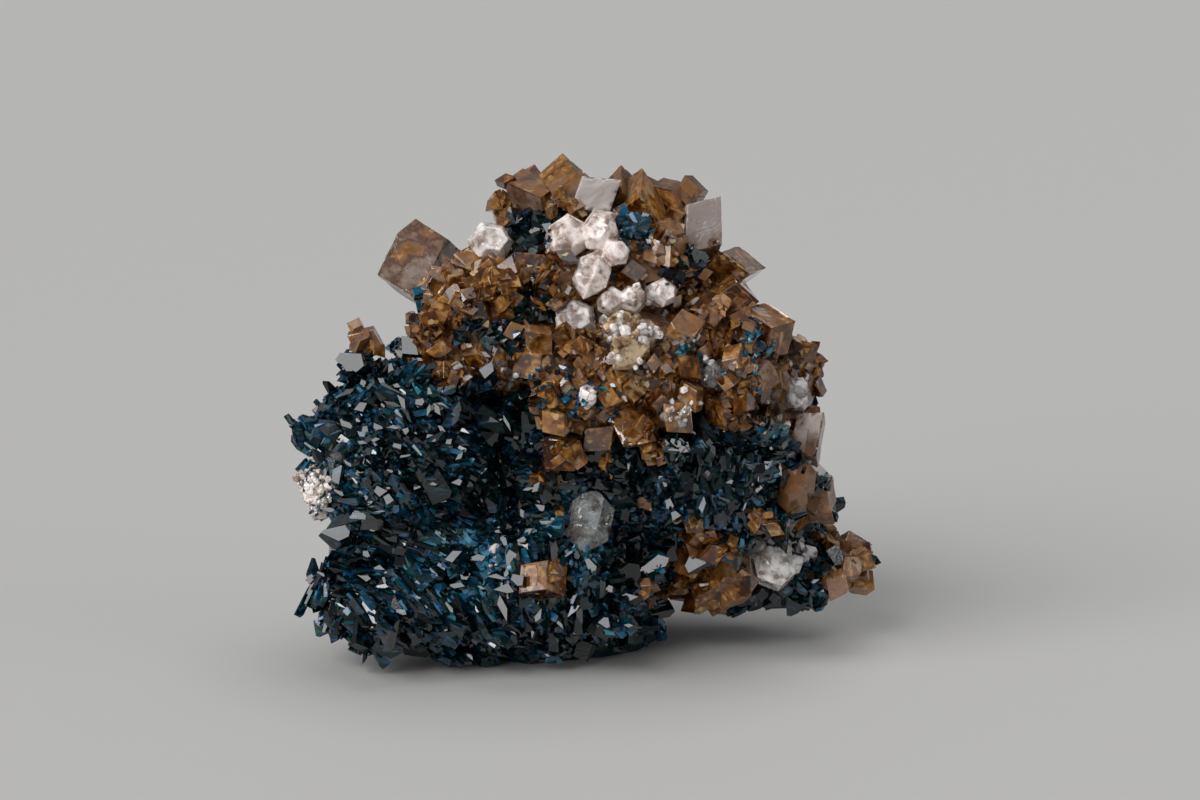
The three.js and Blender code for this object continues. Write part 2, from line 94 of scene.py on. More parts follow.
# A plain pale floor and soft studio light
studio = {
    "floor": "#c2c1bf",
    "world": ("#eceef1", 0.19),
    "suns": [
        {"name": "key", "from": (-0.60, -0.62, 0.50), "strength": 2.4, "angle": 50},
        {"name": "top", "from": (0.15, 0.25, 0.95), "strength": 0.8, "angle": 50},
        {"name": "spark", "from": (-0.25, -0.75, 0.60), "strength": 0.5, "angle": 18},
        {"name": "right", "from": (0.85, -0.35, 0.30), "strength": 0.35, "angle": 40},
    ],
}


# Materials

def toLinear(hexColour):
    channels = [int(hexColour[i:i + 2], 16) / 255 for i in (1, 3, 5)]
    return [c / 12.92 if c <= 0.04045 else ((c + 0.055) / 1.055) ** 2.4 for c in channels] + [1]


def addNode(tree, kind, settings=(), links=()):
    node = tree.nodes.new("ShaderNode" + kind)
    for name, value in dict(settings).items():
        if isinstance(name, int) or name in node.inputs:
            node.inputs[name].default_value = value
        else:
            setattr(node, name, value)
    for name, socket in dict(links).items():
        tree.links.new(socket, node.inputs[name])
    return node


def fillRamp(ramp, stops):
    elements = ramp.color_ramp.elements
    while len(elements) < len(stops):
        elements.new(0.5)
    for element, (place, colour) in zip(elements, stops):
        element.position = place
        element.color = toLinear(colour) if isinstance(colour, str) else [colour] * 3 + [1]


def newMaterial(name):
    material = bpy.data.materials.new(name)
    material.use_nodes = True
    tree = material.node_tree
    tree.nodes.clear()
    output = addNode(tree, "OutputMaterial")
    return material, tree, output


tintShift = 0.37  # metres that a pattern is moved by from tint 0 to tint 1


# Object coordinates, and the same moved for each crystal by its own tint, so that no pattern runs on from one
# crystal to the next
def crystalCoordinates(tree):
    plain = addNode(tree, "TexCoord").outputs["Object"]
    tint = addNode(tree, "Attribute", {"attribute_name": "tint"})
    shift = addNode(tree, "VectorMath", {"operation": "SCALE", "Scale": tintShift},
                    {"Vector": tint.outputs["Vector"]})
    moved = addNode(tree, "VectorMath", {"operation": "ADD"}, {0: plain, 1: shift.outputs[0]})
    return plain, moved.outputs[0], tint.outputs["Fac"]


# Lazulite, a natural glassy crystal: near-black in large crystals, teal to sky blue where they are small,
# with blue cells that are partly its colour zones and partly painted inner glints
lazuliteFinish = {"ior": 1.62, "zoneAndPaintedGlintSize": 0.4 * mm, "patchSize": 9 * mm, "grain": 0.25 * mm,
                  "bump": 0.012 * mm}


def makeLazulite(finish):
    material, tree, output = newMaterial("lazulite_natural_crystal")
    plain, moved, tint = crystalCoordinates(tree)
    tone = addNode(tree, "Attribute", {"attribute_name": "tone"})
    patches = addNode(tree, "TexNoise", {"Scale": 1 / finish["patchSize"], "Detail": 2}, {"Vector": plain})
    spread = addNode(tree, "MapRange", {"From Min": 0.3, "From Max": 0.7, "To Min": -0.2, "To Max": 0.2},
                     {"Value": patches.outputs["Fac"]})
    sided = addNode(tree, "Math", {"operation": "ADD"}, {0: tint, 1: tone.outputs["Fac"]})
    place = addNode(tree, "Math", {"operation": "ADD", "use_clamp": True},
                    {0: sided.outputs[0], 1: spread.outputs[0]})
    body = addNode(tree, "ValToRGB", {}, {"Fac": place.outputs[0]})
    fillRamp(body, [(0, "#020404"), (0.35, "#040b0b"), (0.55, "#06171a"), (0.7, "#09282f"), (0.82, "#0c364c"),
                    (0.93, "#154e70"), (1, "#3f8096")])
    # Blue and teal cells in the base colour: the crystal's colour zones, which also stand in as painted inner
    # glints, most on small crystals
    turn = addNode(tree, "Math", {"operation": "MULTIPLY", 1: 40}, {0: tint})
    turned = addNode(tree, "VectorRotate", {"rotation_type": "X_AXIS"},
                     {"Vector": moved, "Angle": turn.outputs[0]})
    drawn = addNode(tree, "VectorMath", {"operation": "MULTIPLY", 1: (0.35, 1.3, 1)}, {0: turned.outputs[0]})
    blueZonesAndPaintedGlints = addNode(tree, "TexVoronoi", {"Scale": 1 / finish["zoneAndPaintedGlintSize"]}, {"Vector": drawn.outputs[0]})
    chosen = addNode(tree, "SeparateColor", {}, {"Color": blueZonesAndPaintedGlints.outputs["Color"]})
    strength = addNode(tree, "ValToRGB", {}, {"Fac": chosen.outputs[0]})
    fillRamp(strength, [(0.45, 0), (0.75, 0.3), (1, 0.8)])
    keeps = addNode(tree, "MapRange", {"From Min": 0.1, "From Max": 0.7, "To Min": 0.12}, {"Value": tint})
    share = addNode(tree, "Math", {"operation": "MULTIPLY"}, {0: strength.outputs[0], 1: keeps.outputs[0]})
    hue = addNode(tree, "ValToRGB", {}, {"Fac": chosen.outputs[1]})
    fillRamp(hue, [(0, "#0c4a30"), (0.35, "#0f5452"), (0.55, "#125a70"), (0.72, "#114a88"), (0.9, "#2a70aa"),
                   (1, "#66aac8")])
    colour = addNode(tree, "Mix", {"data_type": "RGBA"},
                     {"Factor": share.outputs[0], 6: body.outputs[0], 7: hue.outputs[0]})
    grain = addNode(tree, "TexNoise", {"Scale": 1 / finish["grain"], "Detail": 3}, {"Vector": moved})
    rough = addNode(tree, "MapRange", {"To Min": 0.02, "To Max": 0.12}, {"Value": grain.outputs["Fac"]})
    bump = addNode(tree, "Bump", {"Strength": 0.15, "Distance": finish["bump"]},
                   {"Height": grain.outputs["Fac"]})
    shader = addNode(tree, "BsdfPrincipled", {"IOR": finish["ior"]},
                     {"Base Color": colour.outputs[2], "Roughness": rough.outputs[0],
                      "Normal": bump.outputs[0]})
    tree.links.new(shader.outputs[0], output.inputs[0])
    return material


# Siderite, natural rhombs with a satin to glassy skin: amber with dark zones and flaws and with painted
# broken lights inside (a painted inner glow and glints) where clear, tan and lilac where clouded
sideriteFinish = {"ior": 1.65, "cloud": 2.6 * mm, "zoneAndPaintedGlowSize": 1.3 * mm, "flawAndPaintedGlintSize": 0.55 * mm, "skin": 0.18 * mm,
                  "bump": 0.03 * mm, "absorbed": "#d2913c", "density": 1600}


def makeSiderite(finish, name, clearest):
    material, tree, output = newMaterial(name)
    _, moved, tint = crystalCoordinates(tree)
    tone = addNode(tree, "Attribute", {"attribute_name": "tone"})
    clouds = addNode(tree, "TexNoise", {"Scale": 1 / finish["cloud"], "Detail": 5, "Roughness": 0.6},
                     {"Vector": moved})
    wander = addNode(tree, "MapRange", {"From Min": 0.3, "From Max": 0.7, "To Min": -0.17, "To Max": 0.17},
                     {"Value": clouds.outputs["Fac"]})
    place = addNode(tree, "Math", {"operation": "ADD", "use_clamp": True},
                    {0: tone.outputs["Fac"], 1: wander.outputs[0]})
    body = addNode(tree, "ValToRGB", {}, {"Fac": place.outputs[0]})
    fillRamp(body, [(0, "#160a04"), (0.2, "#3a1b08"), (0.34, "#854c18"), (0.48, "#b27e42"), (0.57, "#87603f"),
                    (0.66, "#7e5e46"), (0.73, "#553e30"), (0.79, "#694f3f"), (0.86, "#7d6758"),
                    (1, "#8b7e78")])
    glassy = addNode(tree, "MapRange", {"From Min": 0.4, "From Max": 0.66, "To Min": 1, "To Max": 0},
                     {"Value": place.outputs[0]})
    # Dark amber zones and a painted inner glow of gold to near-white, in glassy crystals, least in the
    # darkest
    zonesAndPaintedGlow = addNode(tree, "TexNoise", {"Scale": 1 / finish["zoneAndPaintedGlowSize"], "Detail": 3, "Distortion": 0.9},
                     {"Vector": moved})
    gain = addNode(tree, "MapRange", {"To Min": -0.08, "To Max": 0.08}, {"Value": tint})
    raised = addNode(tree, "Math", {"operation": "ADD"}, {0: zonesAndPaintedGlow.outputs["Fac"], 1: gain.outputs[0]})
    zoneAndPaintedGlowColours = addNode(tree, "ValToRGB", {}, {"Fac": raised.outputs[0]})
    fillRamp(zoneAndPaintedGlowColours, [(0.36, "#1e0d04"), (0.47, "#5a2c0b"), (0.55, "#b06a1e"), (0.62, "#f0ae4c"),
                   (0.7, "#ffebbc")])
    smoky = addNode(tree, "MapRange", {"From Min": 0, "From Max": 0.2, "To Min": 0.1, "To Max": 0.5},
                    {"Value": place.outputs[0]})
    share = addNode(tree, "Math", {"operation": "MULTIPLY"}, {0: glassy.outputs[0], 1: smoky.outputs[0]})
    withZonesAndPaintedGlow = addNode(tree, "Mix", {"data_type": "RGBA"},
                     {"Factor": share.outputs[0], 6: body.outputs[0], 7: zoneAndPaintedGlowColours.outputs[0]})
    # Sparse cells in glassy crystals: dark flaws, and painted gold glints
    cells = addNode(tree, "TexVoronoi", {"Scale": 1 / finish["flawAndPaintedGlintSize"]}, {"Vector": moved})
    flawAndGlintPicks = addNode(tree, "SeparateColor", {}, {"Color": cells.outputs["Color"]})
    flawAndPaintedGlintColours = addNode(tree, "ValToRGB", {}, {"Fac": flawAndGlintPicks.outputs[0]})
    fillRamp(flawAndPaintedGlintColours, [(0, "#2a1206"), (0.5, "#9c5415"), (0.8, "#f2b45a"), (1, "#ffe6ae")])
    picked = addNode(tree, "MapRange", {"From Min": 0.75, "From Max": 1, "To Max": 0.85},
                     {"Value": flawAndGlintPicks.outputs[1]})
    flawAndPaintedGlintShare = addNode(tree, "Math", {"operation": "MULTIPLY"}, {0: picked.outputs[0], 1: glassy.outputs[0]})
    colour = addNode(tree, "Mix", {"data_type": "RGBA"},
                     {"Factor": flawAndPaintedGlintShare.outputs[0], 6: withZonesAndPaintedGlow.outputs[2], 7: flawAndPaintedGlintColours.outputs[0]})
    skin = addNode(tree, "TexNoise", {"Scale": 1 / finish["skin"], "Detail": 4}, {"Vector": moved})
    gloss = addNode(tree, "MapRange", {"To Min": 0.03, "To Max": 0.17}, {"Value": skin.outputs["Fac"]})
    satin = addNode(tree, "MapRange", {"From Min": 0.6, "From Max": 0.8, "To Max": 0.2},
                    {"Value": place.outputs[0]})
    rough = addNode(tree, "Math", {"operation": "ADD"}, {0: gloss.outputs[0], 1: satin.outputs[0]})
    bump = addNode(tree, "Bump", {"Strength": 0.1, "Distance": finish["bump"]},
                   {"Height": skin.outputs["Fac"]})
    clear = addNode(tree, "ValToRGB", {}, {"Fac": place.outputs[0]})
    fillRamp(clear, [(0, clearest * 0.5), (0.3, clearest), (0.42, clearest * 0.8), (0.62, clearest * 0.12)])
    shader = addNode(tree, "BsdfPrincipled", {"IOR": finish["ior"]},
                     {"Base Color": colour.outputs[2], "Roughness": rough.outputs[0],
                      "Normal": bump.outputs[0], "Transmission Weight": clear.outputs[0]})
    tree.links.new(shader.outputs[0], output.inputs[0])
    if clearest:
        depth = addNode(tree, "VolumeAbsorption",
                        {"Color": toLinear(finish["absorbed"]), "Density": finish["density"]})
        tree.links.new(depth.outputs[0], output.inputs["Volume"])
    return material


# Quartz, natural crystals with an etched glassy skin: see-through in places, milky with fine cracks in others
quartzFinish = {"ior": 1.544, "veil": 1.4 * mm, "splinter": 0.6 * mm, "bend": 0.5 * mm, "etch": 0.34 * mm,
                "skin": 0.35 * mm, "bump": 0.03 * mm}


def makeQuartz(finish):
    material, tree, output = newMaterial("quartz_natural_crystal")
    plain, moved, tint = crystalCoordinates(tree)
    veils = addNode(tree, "TexNoise", {"Scale": 1 / finish["veil"], "Detail": 5}, {"Vector": plain})
    bent = addNode(tree, "Mix", {"data_type": "VECTOR", "Factor": finish["bend"]},
                   {4: moved, 5: veils.outputs["Color"]})
    cells = addNode(tree, "TexVoronoi", {"Scale": 1 / finish["splinter"]}, {"Vector": bent.outputs[1]})
    splinters = addNode(tree, "SeparateColor", {}, {"Color": cells.outputs["Color"]})
    milk = addNode(tree, "Math", {"operation": "MULTIPLY_ADD", 1: 0.22},
                   {0: splinters.outputs[0], 2: veils.outputs["Fac"]})
    clearest = addNode(tree, "ValToRGB", {}, {"Fac": tint})
    fillRamp(clearest, [(0, 0.66), (0.3, 0.7), (0.42, 0.95), (0.58, 0.95), (0.75, 0.95), (1, 1.05)])
    least = addNode(tree, "ValToRGB", {}, {"Fac": tint})
    fillRamp(least, [(0.3, 0.3), (0.42, 0.88), (0.58, 0.88), (0.75, 0.6)])
    kept = addNode(tree, "MapRange", {"From Min": 0.48, "From Max": 0.74, "To Min": 1},
                   {"Value": milk.outputs[0], "To Max": least.outputs[0]})
    clear = addNode(tree, "Math", {"operation": "MULTIPLY_ADD", "use_clamp": True, 2: -0.05},
                    {0: clearest.outputs[0], 1: kept.outputs[0]})
    pale = addNode(tree, "ValToRGB", {}, {"Fac": milk.outputs[0]})
    fillRamp(pale, [(0.42, "#cdbdb1"), (0.54, "#f3e9e3"), (0.66, "#ffffff")])
    stain = addNode(tree, "ValToRGB", {}, {"Fac": tint})
    fillRamp(stain, [(0, "#fff1ea"), (0.3, "#fdfbf9"), (0.5, "#e4e9ea"), (0.75, "#fae0b8"), (1, "#f3cd90")])
    colour = addNode(tree, "Mix", {"data_type": "RGBA", "blend_type": "MULTIPLY", "Factor": 1},
                     {6: pale.outputs[0], 7: stain.outputs[0]})
    skin = addNode(tree, "TexNoise", {"Scale": 1 / finish["skin"], "Detail": 4}, {"Vector": plain})
    rough = addNode(tree, "MapRange", {"To Min": 0.02, "To Max": 0.18}, {"Value": skin.outputs["Fac"]})
    etched = addNode(tree, "TexVoronoi", {"Scale": 1 / finish["etch"]}, {"Vector": bent.outputs[1]})
    leans = addNode(tree, "VectorMath", {"operation": "SUBTRACT", 1: (0.5, 0.5, 0.5)},
                    {0: etched.outputs["Color"]})
    surface = addNode(tree, "NewGeometry")
    leaned = addNode(tree, "VectorMath", {"operation": "MULTIPLY_ADD", 1: (0.34, 0.34, 0.34)},
                     {0: leans.outputs[0], 2: surface.outputs["Normal"]})
    facing = addNode(tree, "VectorMath", {"operation": "NORMALIZE"}, {0: leaned.outputs[0]})
    bump = addNode(tree, "Bump", {"Strength": 0.15, "Distance": finish["bump"]},
                   {"Height": skin.outputs["Fac"], "Normal": facing.outputs[0]})
    shader = addNode(tree, "BsdfPrincipled", {"IOR": finish["ior"]},
                     {"Base Color": colour.outputs[2], "Roughness": rough.outputs[0],
                      "Normal": bump.outputs[0], "Transmission Weight": clear.outputs[0]})
    tree.links.new(shader.outputs[0], output.inputs[0])
    return material


materials = {
    "lazulite": makeLazulite(lazuliteFinish),
    "siderite": makeSiderite(sideriteFinish, "siderite_natural_rhombs", 0.65),
    "sideriteCore": makeSiderite(sideriteFinish, "siderite_grown_together", 0),
    "quartz": makeQuartz(quartzFinish),
}
slotOf = {part["node"]: part["material_slot"] for part in frame["record"]["subparts"]}
for name, node in nodes.items():
    node.data.materials.clear()
    node.data.materials.append(materials[slotOf[name]])
    for attribute, value in (("tint", 0.3), ("tone", 0.2)):
        layer = node.data.attributes.new(attribute, "FLOAT", "FACE")
        layer.data.foreach_set("value", [value] * len(node.data.polygons))
print("materials made")


# The solids as triangles

def trianglesOf(names):
    corners, owners = [], []
    for name in names:
        mesh = nodes[name].data
        mesh.calc_loop_triangles()
        points = np.empty(len(mesh.vertices) * 3)
        mesh.vertices.foreach_get("co", points)
        index = np.empty(len(mesh.loop_triangles) * 3, dtype=np.int32)
        mesh.loop_triangles.foreach_get("vertices", index)
        corners.append(points.reshape(-1, 3)[index].reshape(-1, 3, 3))
        owners += [name] * len(mesh.loop_triangles)
    corners = np.concatenate(corners)
    crossed = np.cross(corners[:, 1] - corners[:, 0], corners[:, 2] - corners[:, 0])
    doubled = np.linalg.norm(crossed, axis=1)
    return {"corners": corners, "normals": crossed / doubled[:, None].clip(1e-15), "areas": doubled / 2,
            "owners": np.array(owners)}


def treeOf(triangles):
    points = triangles["corners"].reshape(-1, 3)
    return BVHTree.FromPolygons(points.tolist(), np.arange(len(points)).reshape(-1, 3).tolist())


masses = ["lazulite_mass", "siderite_crown"]
seated = [name for name in nodes if name not in masses]
wholeTree = treeOf(trianglesOf(list(nodes)))
seatedTree = treeOf(trianglesOf(seated))
quartzTree = treeOf(trianglesOf([name for name in seated if slotOf[name] == "quartz"]))


# Points spread over triangles, none nearer to the next than spacing
def spreadPoints(triangles, spacing, random):
    areas = triangles["areas"]
    count = int(areas.sum() / spacing ** 2 * 3)
    picked = random.choice(len(areas), count, p=areas / areas.sum())
    a, b = random.random((2, count, 1))
    flip = a + b > 1
    a, b = np.where(flip, 1 - a, a), np.where(flip, 1 - b, b)
    corners = triangles["corners"][picked]
    points = corners[:, 0] + a * (corners[:, 1] - corners[:, 0]) + b * (corners[:, 2] - corners[:, 0])
    tree = KDTree(count)
    for i, point in enumerate(points):
        tree.insert(point, i)
    tree.balance()
    kept = np.ones(count, dtype=bool)
    for i, point in enumerate(points):
        if kept[i]:
            for _, j, _ in tree.find_range(point, spacing):
                if j > i:
                    kept[j] = False
    return points[kept], triangles["normals"][picked][kept]


# A place in the picture is millimetres to the right of and above its middle, measured at the specimen.
viewTilt = math.radians(cameraSetup["elevation"])
viewUp = np.array([0, math.sin(viewTilt), math.cos(viewTilt)])
toCamera = np.array([0, -math.cos(viewTilt), math.sin(viewTilt)])
eye = np.array(cameraSetup["target"]) + toCamera * cameraSetup["distance"]


# Where a look at a place in the picture first meets the faces of a tree, and which way they face there
def seenAt(across, up, tree=wholeTree):
    through = np.array(cameraSetup["target"]) + np.array([across, 0, 0]) * mm + viewUp * up * mm
    point, normal, _, _ = tree.ray_cast(Vector(eye), Vector(through - eye))
    return (np.array(point), np.array(normal)) if point else (None, None)


# Points as places in the picture
def inPicture(points):
    offsets = points - eye
    scale = cameraSetup["distance"] / -(offsets @ toCamera) / mm
    return np.column_stack([offsets[:, 0] * scale, offsets @ viewUp * scale])


# Whether a crystal of this size has open air over it
def hasRoom(point, normal, size):
    start = Vector(point) + Vector(normal) * 0.02 * mm
    blocked = wholeTree.ray_cast(start, Vector(normal), size * 0.7)[0]
    return blocked is None


def seatedDistance(point):
    return seatedTree.find_nearest(Vector(point))[3]


# Crystal forms, from -1 to 1 each way, as points and triangles

def formOf(mesh):
    bmesh.ops.triangulate(mesh, faces=mesh.faces)
    bmesh.ops.recalc_face_normals(mesh, faces=mesh.faces)
    mesh.verts.index_update()
    sides = [max(range(3), key=lambda k: abs(face.normal[k])) for face in mesh.faces]
    form = {"points": np.array([vertex.co[:] for vertex in mesh.verts]),
            "faces": np.array([[vertex.index for vertex in face.verts] for face in mesh.faces]),
            "sides": np.array([side * 2 + (face.normal[side] > 0) for side, face in zip(sides, mesh.faces)])}
    mesh.free()
    return form


def hullForm(points):
    mesh = bmesh.new()
    for point in points:
        mesh.verts.new(point)
    made = bmesh.ops.convex_hull(mesh, input=mesh.verts)
    bmesh.ops.delete(mesh, geom=made["geom_interior"], context="VERTS")
    return formOf(mesh)


# Cuts away what lies past a plane
def cutAway(mesh, direction, distance):
    geometry = mesh.verts[:] + mesh.edges[:] + mesh.faces[:]
    cut = bmesh.ops.bisect_plane(mesh, geom=geometry, plane_co=direction * distance, plane_no=direction,
                                 clear_outer=True)
    rim = [part for part in cut["geom_cut"] if isinstance(part, bmesh.types.BMEdge)]
    if rim:
        bmesh.ops.edgeloop_fill(mesh, edges=rim)


# A block cut by planes: each is a direction and how far from the middle it cuts
def cutForm(planes):
    mesh = bmesh.new()
    bmesh.ops.create_cube(mesh, size=2)
    for direction, distance in planes:
        cutAway(mesh, Vector(direction).normalized(), distance)
    return formOf(mesh)


# A block with so many corners and edges cut away by chance
def chunkForm(random, cuts, reach):
    return cutForm([(random.normal(size=3), random.uniform(*reach)) for _ in range(cuts)])


# A flat many-cornered face with sides that fall away behind it
def facetForm(random):
    count = random.integers(4, 6)
    corners = np.linspace(0, 2 * math.pi, count, endpoint=False) + random.uniform(-0.45, 0.45, count)
    reach = random.uniform(0.6, 1.15, count)
    top = [(math.cos(a) * r, math.sin(a) * r, 0) for a, r in zip(corners, reach)]
    middle = [(x * 1.15, y * 1.15, -0.45) for x, y, _ in top]
    low = [(x * 0.6, y * 0.6, -1.6) for x, y, _ in top]
    return hullForm(top + middle + low)


# A block with bevelled edges and broken corners, which placement leans into a rhomb
def blockForm(random, breaks, bevel):
    mesh = bmesh.new()
    bmesh.ops.create_cube(mesh, size=2)
    for _ in range(breaks):
        direction = Vector(random.choice([-1, 1], 3) * random.uniform(0.15, 1, 3)).normalized()
        corner = sum(abs(value) for value in direction)
        cutAway(mesh, direction, corner * random.uniform(0.7, 0.93))
    bmesh.ops.bevel(mesh, geom=mesh.edges, offset=bevel, segments=1, profile=0.6, affect="EDGES")
    for vertex in mesh.verts:
        vertex.co += Vector(random.uniform(-0.02, 0.02, 3))
    return formOf(mesh)


# A six-sided prism with a pyramid at its tip
def prismForm(shoulder, random):
    ring = [(math.cos(k * math.pi / 3), math.sin(k * math.pi / 3)) for k in range(6)]
    low = [(x, y, -1) for x, y in ring]
    high = [(x, y, shoulder + random.uniform(-0.1, 0.1)) for x, y in ring]
    return hullForm(low + high + [(0.08, 0.05, 1)])


formRandom = np.random.default_rng(11)
chunks = [chunkForm(formRandom, 7, (0.5, 0.85)) for _ in range(12)]
grains = [chunkForm(formRandom, 3, (0.45, 0.75)) for _ in range(10)]
facets = [facetForm(formRandom) for _ in range(14)]
blocks = [blockForm(formRandom, breaks, 0.045) for breaks in (0, 0, 1, 1, 1, 2, 2, 3)]
chips = [chunkForm(formRandom, cuts, (0.7, 1.1)) for cuts in (1, 2, 2, 3, 3)]
prisms = [prismForm(shoulder, formRandom) for shoulder in (0.2, 0.4, 0.6)]


# One mesh out of many crystals. Each crystal is (form, 3 x 3 axes as columns, middle, tint, tone).
def crystalPiece(name, crystals, slotName, smooth=False):
    margin = np.array([0.6, 0.4, 0.6]) * mm  # no crystal stands further out of the solids' box
    low, high = np.array(cadBox[0]) - margin, np.array(cadBox[1]) + margin
    low[2] = 0.02 * mm
    points, faces, tints, tones = [], [], [], []
    count = 0
    for form, axes, middle, tint, tone in crystals:
        placed = form["points"] @ np.asarray(axes).T + middle
        if (placed < low).any() or (placed > high).any():
            continue
        points.append(placed)
        faces.append(form["faces"] + count)
        tints.append(np.full(len(form["faces"]), tint))
        tones.append(tone if len(np.atleast_1d(tone)) > 6 else np.broadcast_to(tone, 6)[form["sides"]])
        count += len(placed)
    mesh = bpy.data.meshes.new(name)
    faces = np.concatenate(faces)
    mesh.vertices.add(count)
    mesh.vertices.foreach_set("co", np.concatenate(points).ravel())
    mesh.loops.add(len(faces) * 3)
    mesh.loops.foreach_set("vertex_index", faces.ravel())
    mesh.polygons.add(len(faces))
    mesh.polygons.foreach_set("loop_start", np.arange(len(faces)) * 3)
    mesh.polygons.foreach_set("use_smooth", [smooth] * len(faces))
    mesh.update(calc_edges=True)
    for attribute, values in (("tint", tints), ("tone", tones)):
        layer = mesh.attributes.new(attribute, "FLOAT", "FACE")
        layer.data.foreach_set("value", np.concatenate(values))
    mesh.materials.append(materials[slotName])
    piece = bpy.data.objects.new(name, mesh)
    bpy.context.scene.collection.objects.link(piece)
    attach(piece, "root")
    print(name, len(tints), "crystals,", len(faces), "triangles")
    return piece


def unit(vector):
    return vector / max(np.linalg.norm(vector), 1e-12)


# Three axes with the long one along a direction, turned about it by chance
def axesAlong(along, widths, length, random):
    along = unit(along)
    side = unit(np.cross(along, unit(random.normal(size=3))))
    other = np.cross(along, side)
    return np.column_stack([side * widths[0], other * widths[1], along * length])


# Where small crystals of one mineral gather on another, as the picture shows them: the place, the radius, how
# many, their half lengths, and their tones or tints
sideriteSpots = [
    ((12, -18.2), 4.2, 70, (0.5, 1.5), (0.25, 0.5)),
    ((10, -14.5), 2.0, 18, (0.4, 1.1), (0.35, 0.6)),
    ((17.5, -13.9), 2.0, 16, (0.4, 1.0), (0.35, 0.7)),
    ((22.2, -10.8), 2.2, 14, (0.7, 1.6), (0.45, 0.8)),
    ((28, -18.3), 2.6, 26, (0.6, 1.4), (0.2, 0.65)),
    ((25.5, -15.2), 1.6, 10, (0.4, 0.9), (0.35, 0.6)),
    ((-6.1, -19.2), 1.3, 8, (0.5, 1.0), (0.35, 0.5)),
    ((-5.5, -8.9), 1.4, 8, (0.4, 0.9), (0.3, 0.7)),
    ((1.3, -7.2), 1.0, 6, (0.3, 0.7), (0.2, 0.5)),
    ((5.0, -11.7), 0.8, 4, (0.3, 0.5), (0.4, 0.7)),
    ((5.6, -21.1), 1.2, 8, (0.35, 0.8), (0.5, 0.75)),
    ((-4.6, -12.4), 0.6, 4, (0.25, 0.5), (0.4, 0.5)),
    ((-25.8, 7.2), 1.8, 10, (0.4, 0.9), (0.4, 0.7)),
    ((-16.8, 2.7), 1.6, 9, (0.4, 0.9), (0.35, 0.6)),
    ((-4.0, -5.9), 1.5, 8, (0.4, 0.8), (0.2, 0.5)),
    ((-1.2, -1.8), 1.0, 7, (0.3, 0.7), (0.35, 0.7)),
    ((3.8, -2.8), 2.0, 16, (0.4, 1.0), (0.35, 0.55)),
    ((6.0, -5.6), 1.3, 8, (0.35, 0.8), (0.3, 0.5)),
    ((8.2, 19.4), 1.5, 16, (0.6, 1.2), (0.4, 0.65)),
    ((13.5, 8.0), 3.2, 60, (0.3, 0.7), (0.35, 0.7)),
    ((17.0, 4.0), 2.6, 40, (0.25, 0.6), (0.5, 0.85)),
    ((16.5, -1.0), 2.8, 50, (0.3, 0.6), (0.45, 0.8)),
    ((-2.0, 3.6), 2.6, 34, (0.3, 0.7), (0.35, 0.6)),
    ((9.5, 12.6), 2.4, 26, (0.3, 0.8), (0.4, 0.75)),
    ((-16.5, 11.5), 2.6, 40, (0.4, 0.9), (0.3, 0.42)),
    ((-11.2, 20.4), 1.9, 26, (0.4, 0.9), (0.4, 0.56)),
    ((-11.2, 13.6), 2.8, 46, (0.45, 1.0), (0.32, 0.5)),
    ((-4.7, 21.6), 1.2, 20, (0.35, 0.8), (0.36, 0.5)),
    ((-2.8, 21.0), 0.9, 14, (0.35, 0.8), (0.36, 0.55)),
]
blueSpots = [
    ((-1.0, 0.3), 3.2, 90, (0.2, 0.55), (0.8, 1)),
    ((16.4, 2.8), 3.0, 70, (0.2, 0.55), (0.85, 1)),
    ((17.5, 6.0), 2.0, 30, (0.2, 0.5), (0.8, 1)),
    ((11.0, 5.5), 2.4, 30, (0.2, 0.6), (0.6, 1)),
    ((3.9, 18.6), 1.9, 60, (0.3, 0.8), (0.6, 0.95)),
    ((-7.0, 18.1), 1.9, 24, (0.6, 1.4), (0.1, 0.5)),
    ((9.2, 13.9), 2.0, 24, (0.6, 1.4), (0, 0.25)),
    ((-30.5, -10), 3.0, 70, (0.2, 0.5), (0.5, 1)),
    ((-2.2, -17.5), 1.8, 36, (0.2, 0.55), (0.8, 1)),
    ((-12, -16), 3.2, 70, (0.25, 0.6), (0.65, 0.98)),
    ((-26, -6), 3.2, 60, (0.25, 0.6), (0.6, 0.98)),
    ((26, -13), 1.8, 26, (0.25, 0.6), (0.8, 1)),
    ((3.2, -22.5), 1.4, 26, (0.25, 0.6), (0.8, 1)),
    ((-20, 10.3), 2.2, 30, (0.3, 0.8), (0.4, 0.95)),
    ((-30.5, 2.2), 1.7, 30, (0.3, 0.8), (0.72, 0.95)),
    ((-6.9, 10.4), 2.0, 24, (0.6, 1.4), (0, 0.3)),
    ((-10.5, 6.5), 2.2, 28, (0.4, 1.0), (0.1, 0.8)),
    ((-5.5, 1.6), 2.4, 44, (0.25, 0.6), (0.6, 0.95)),
    ((-14.8, 8.0), 1.4, 14, (0.4, 0.9), (0, 0.5)),
]
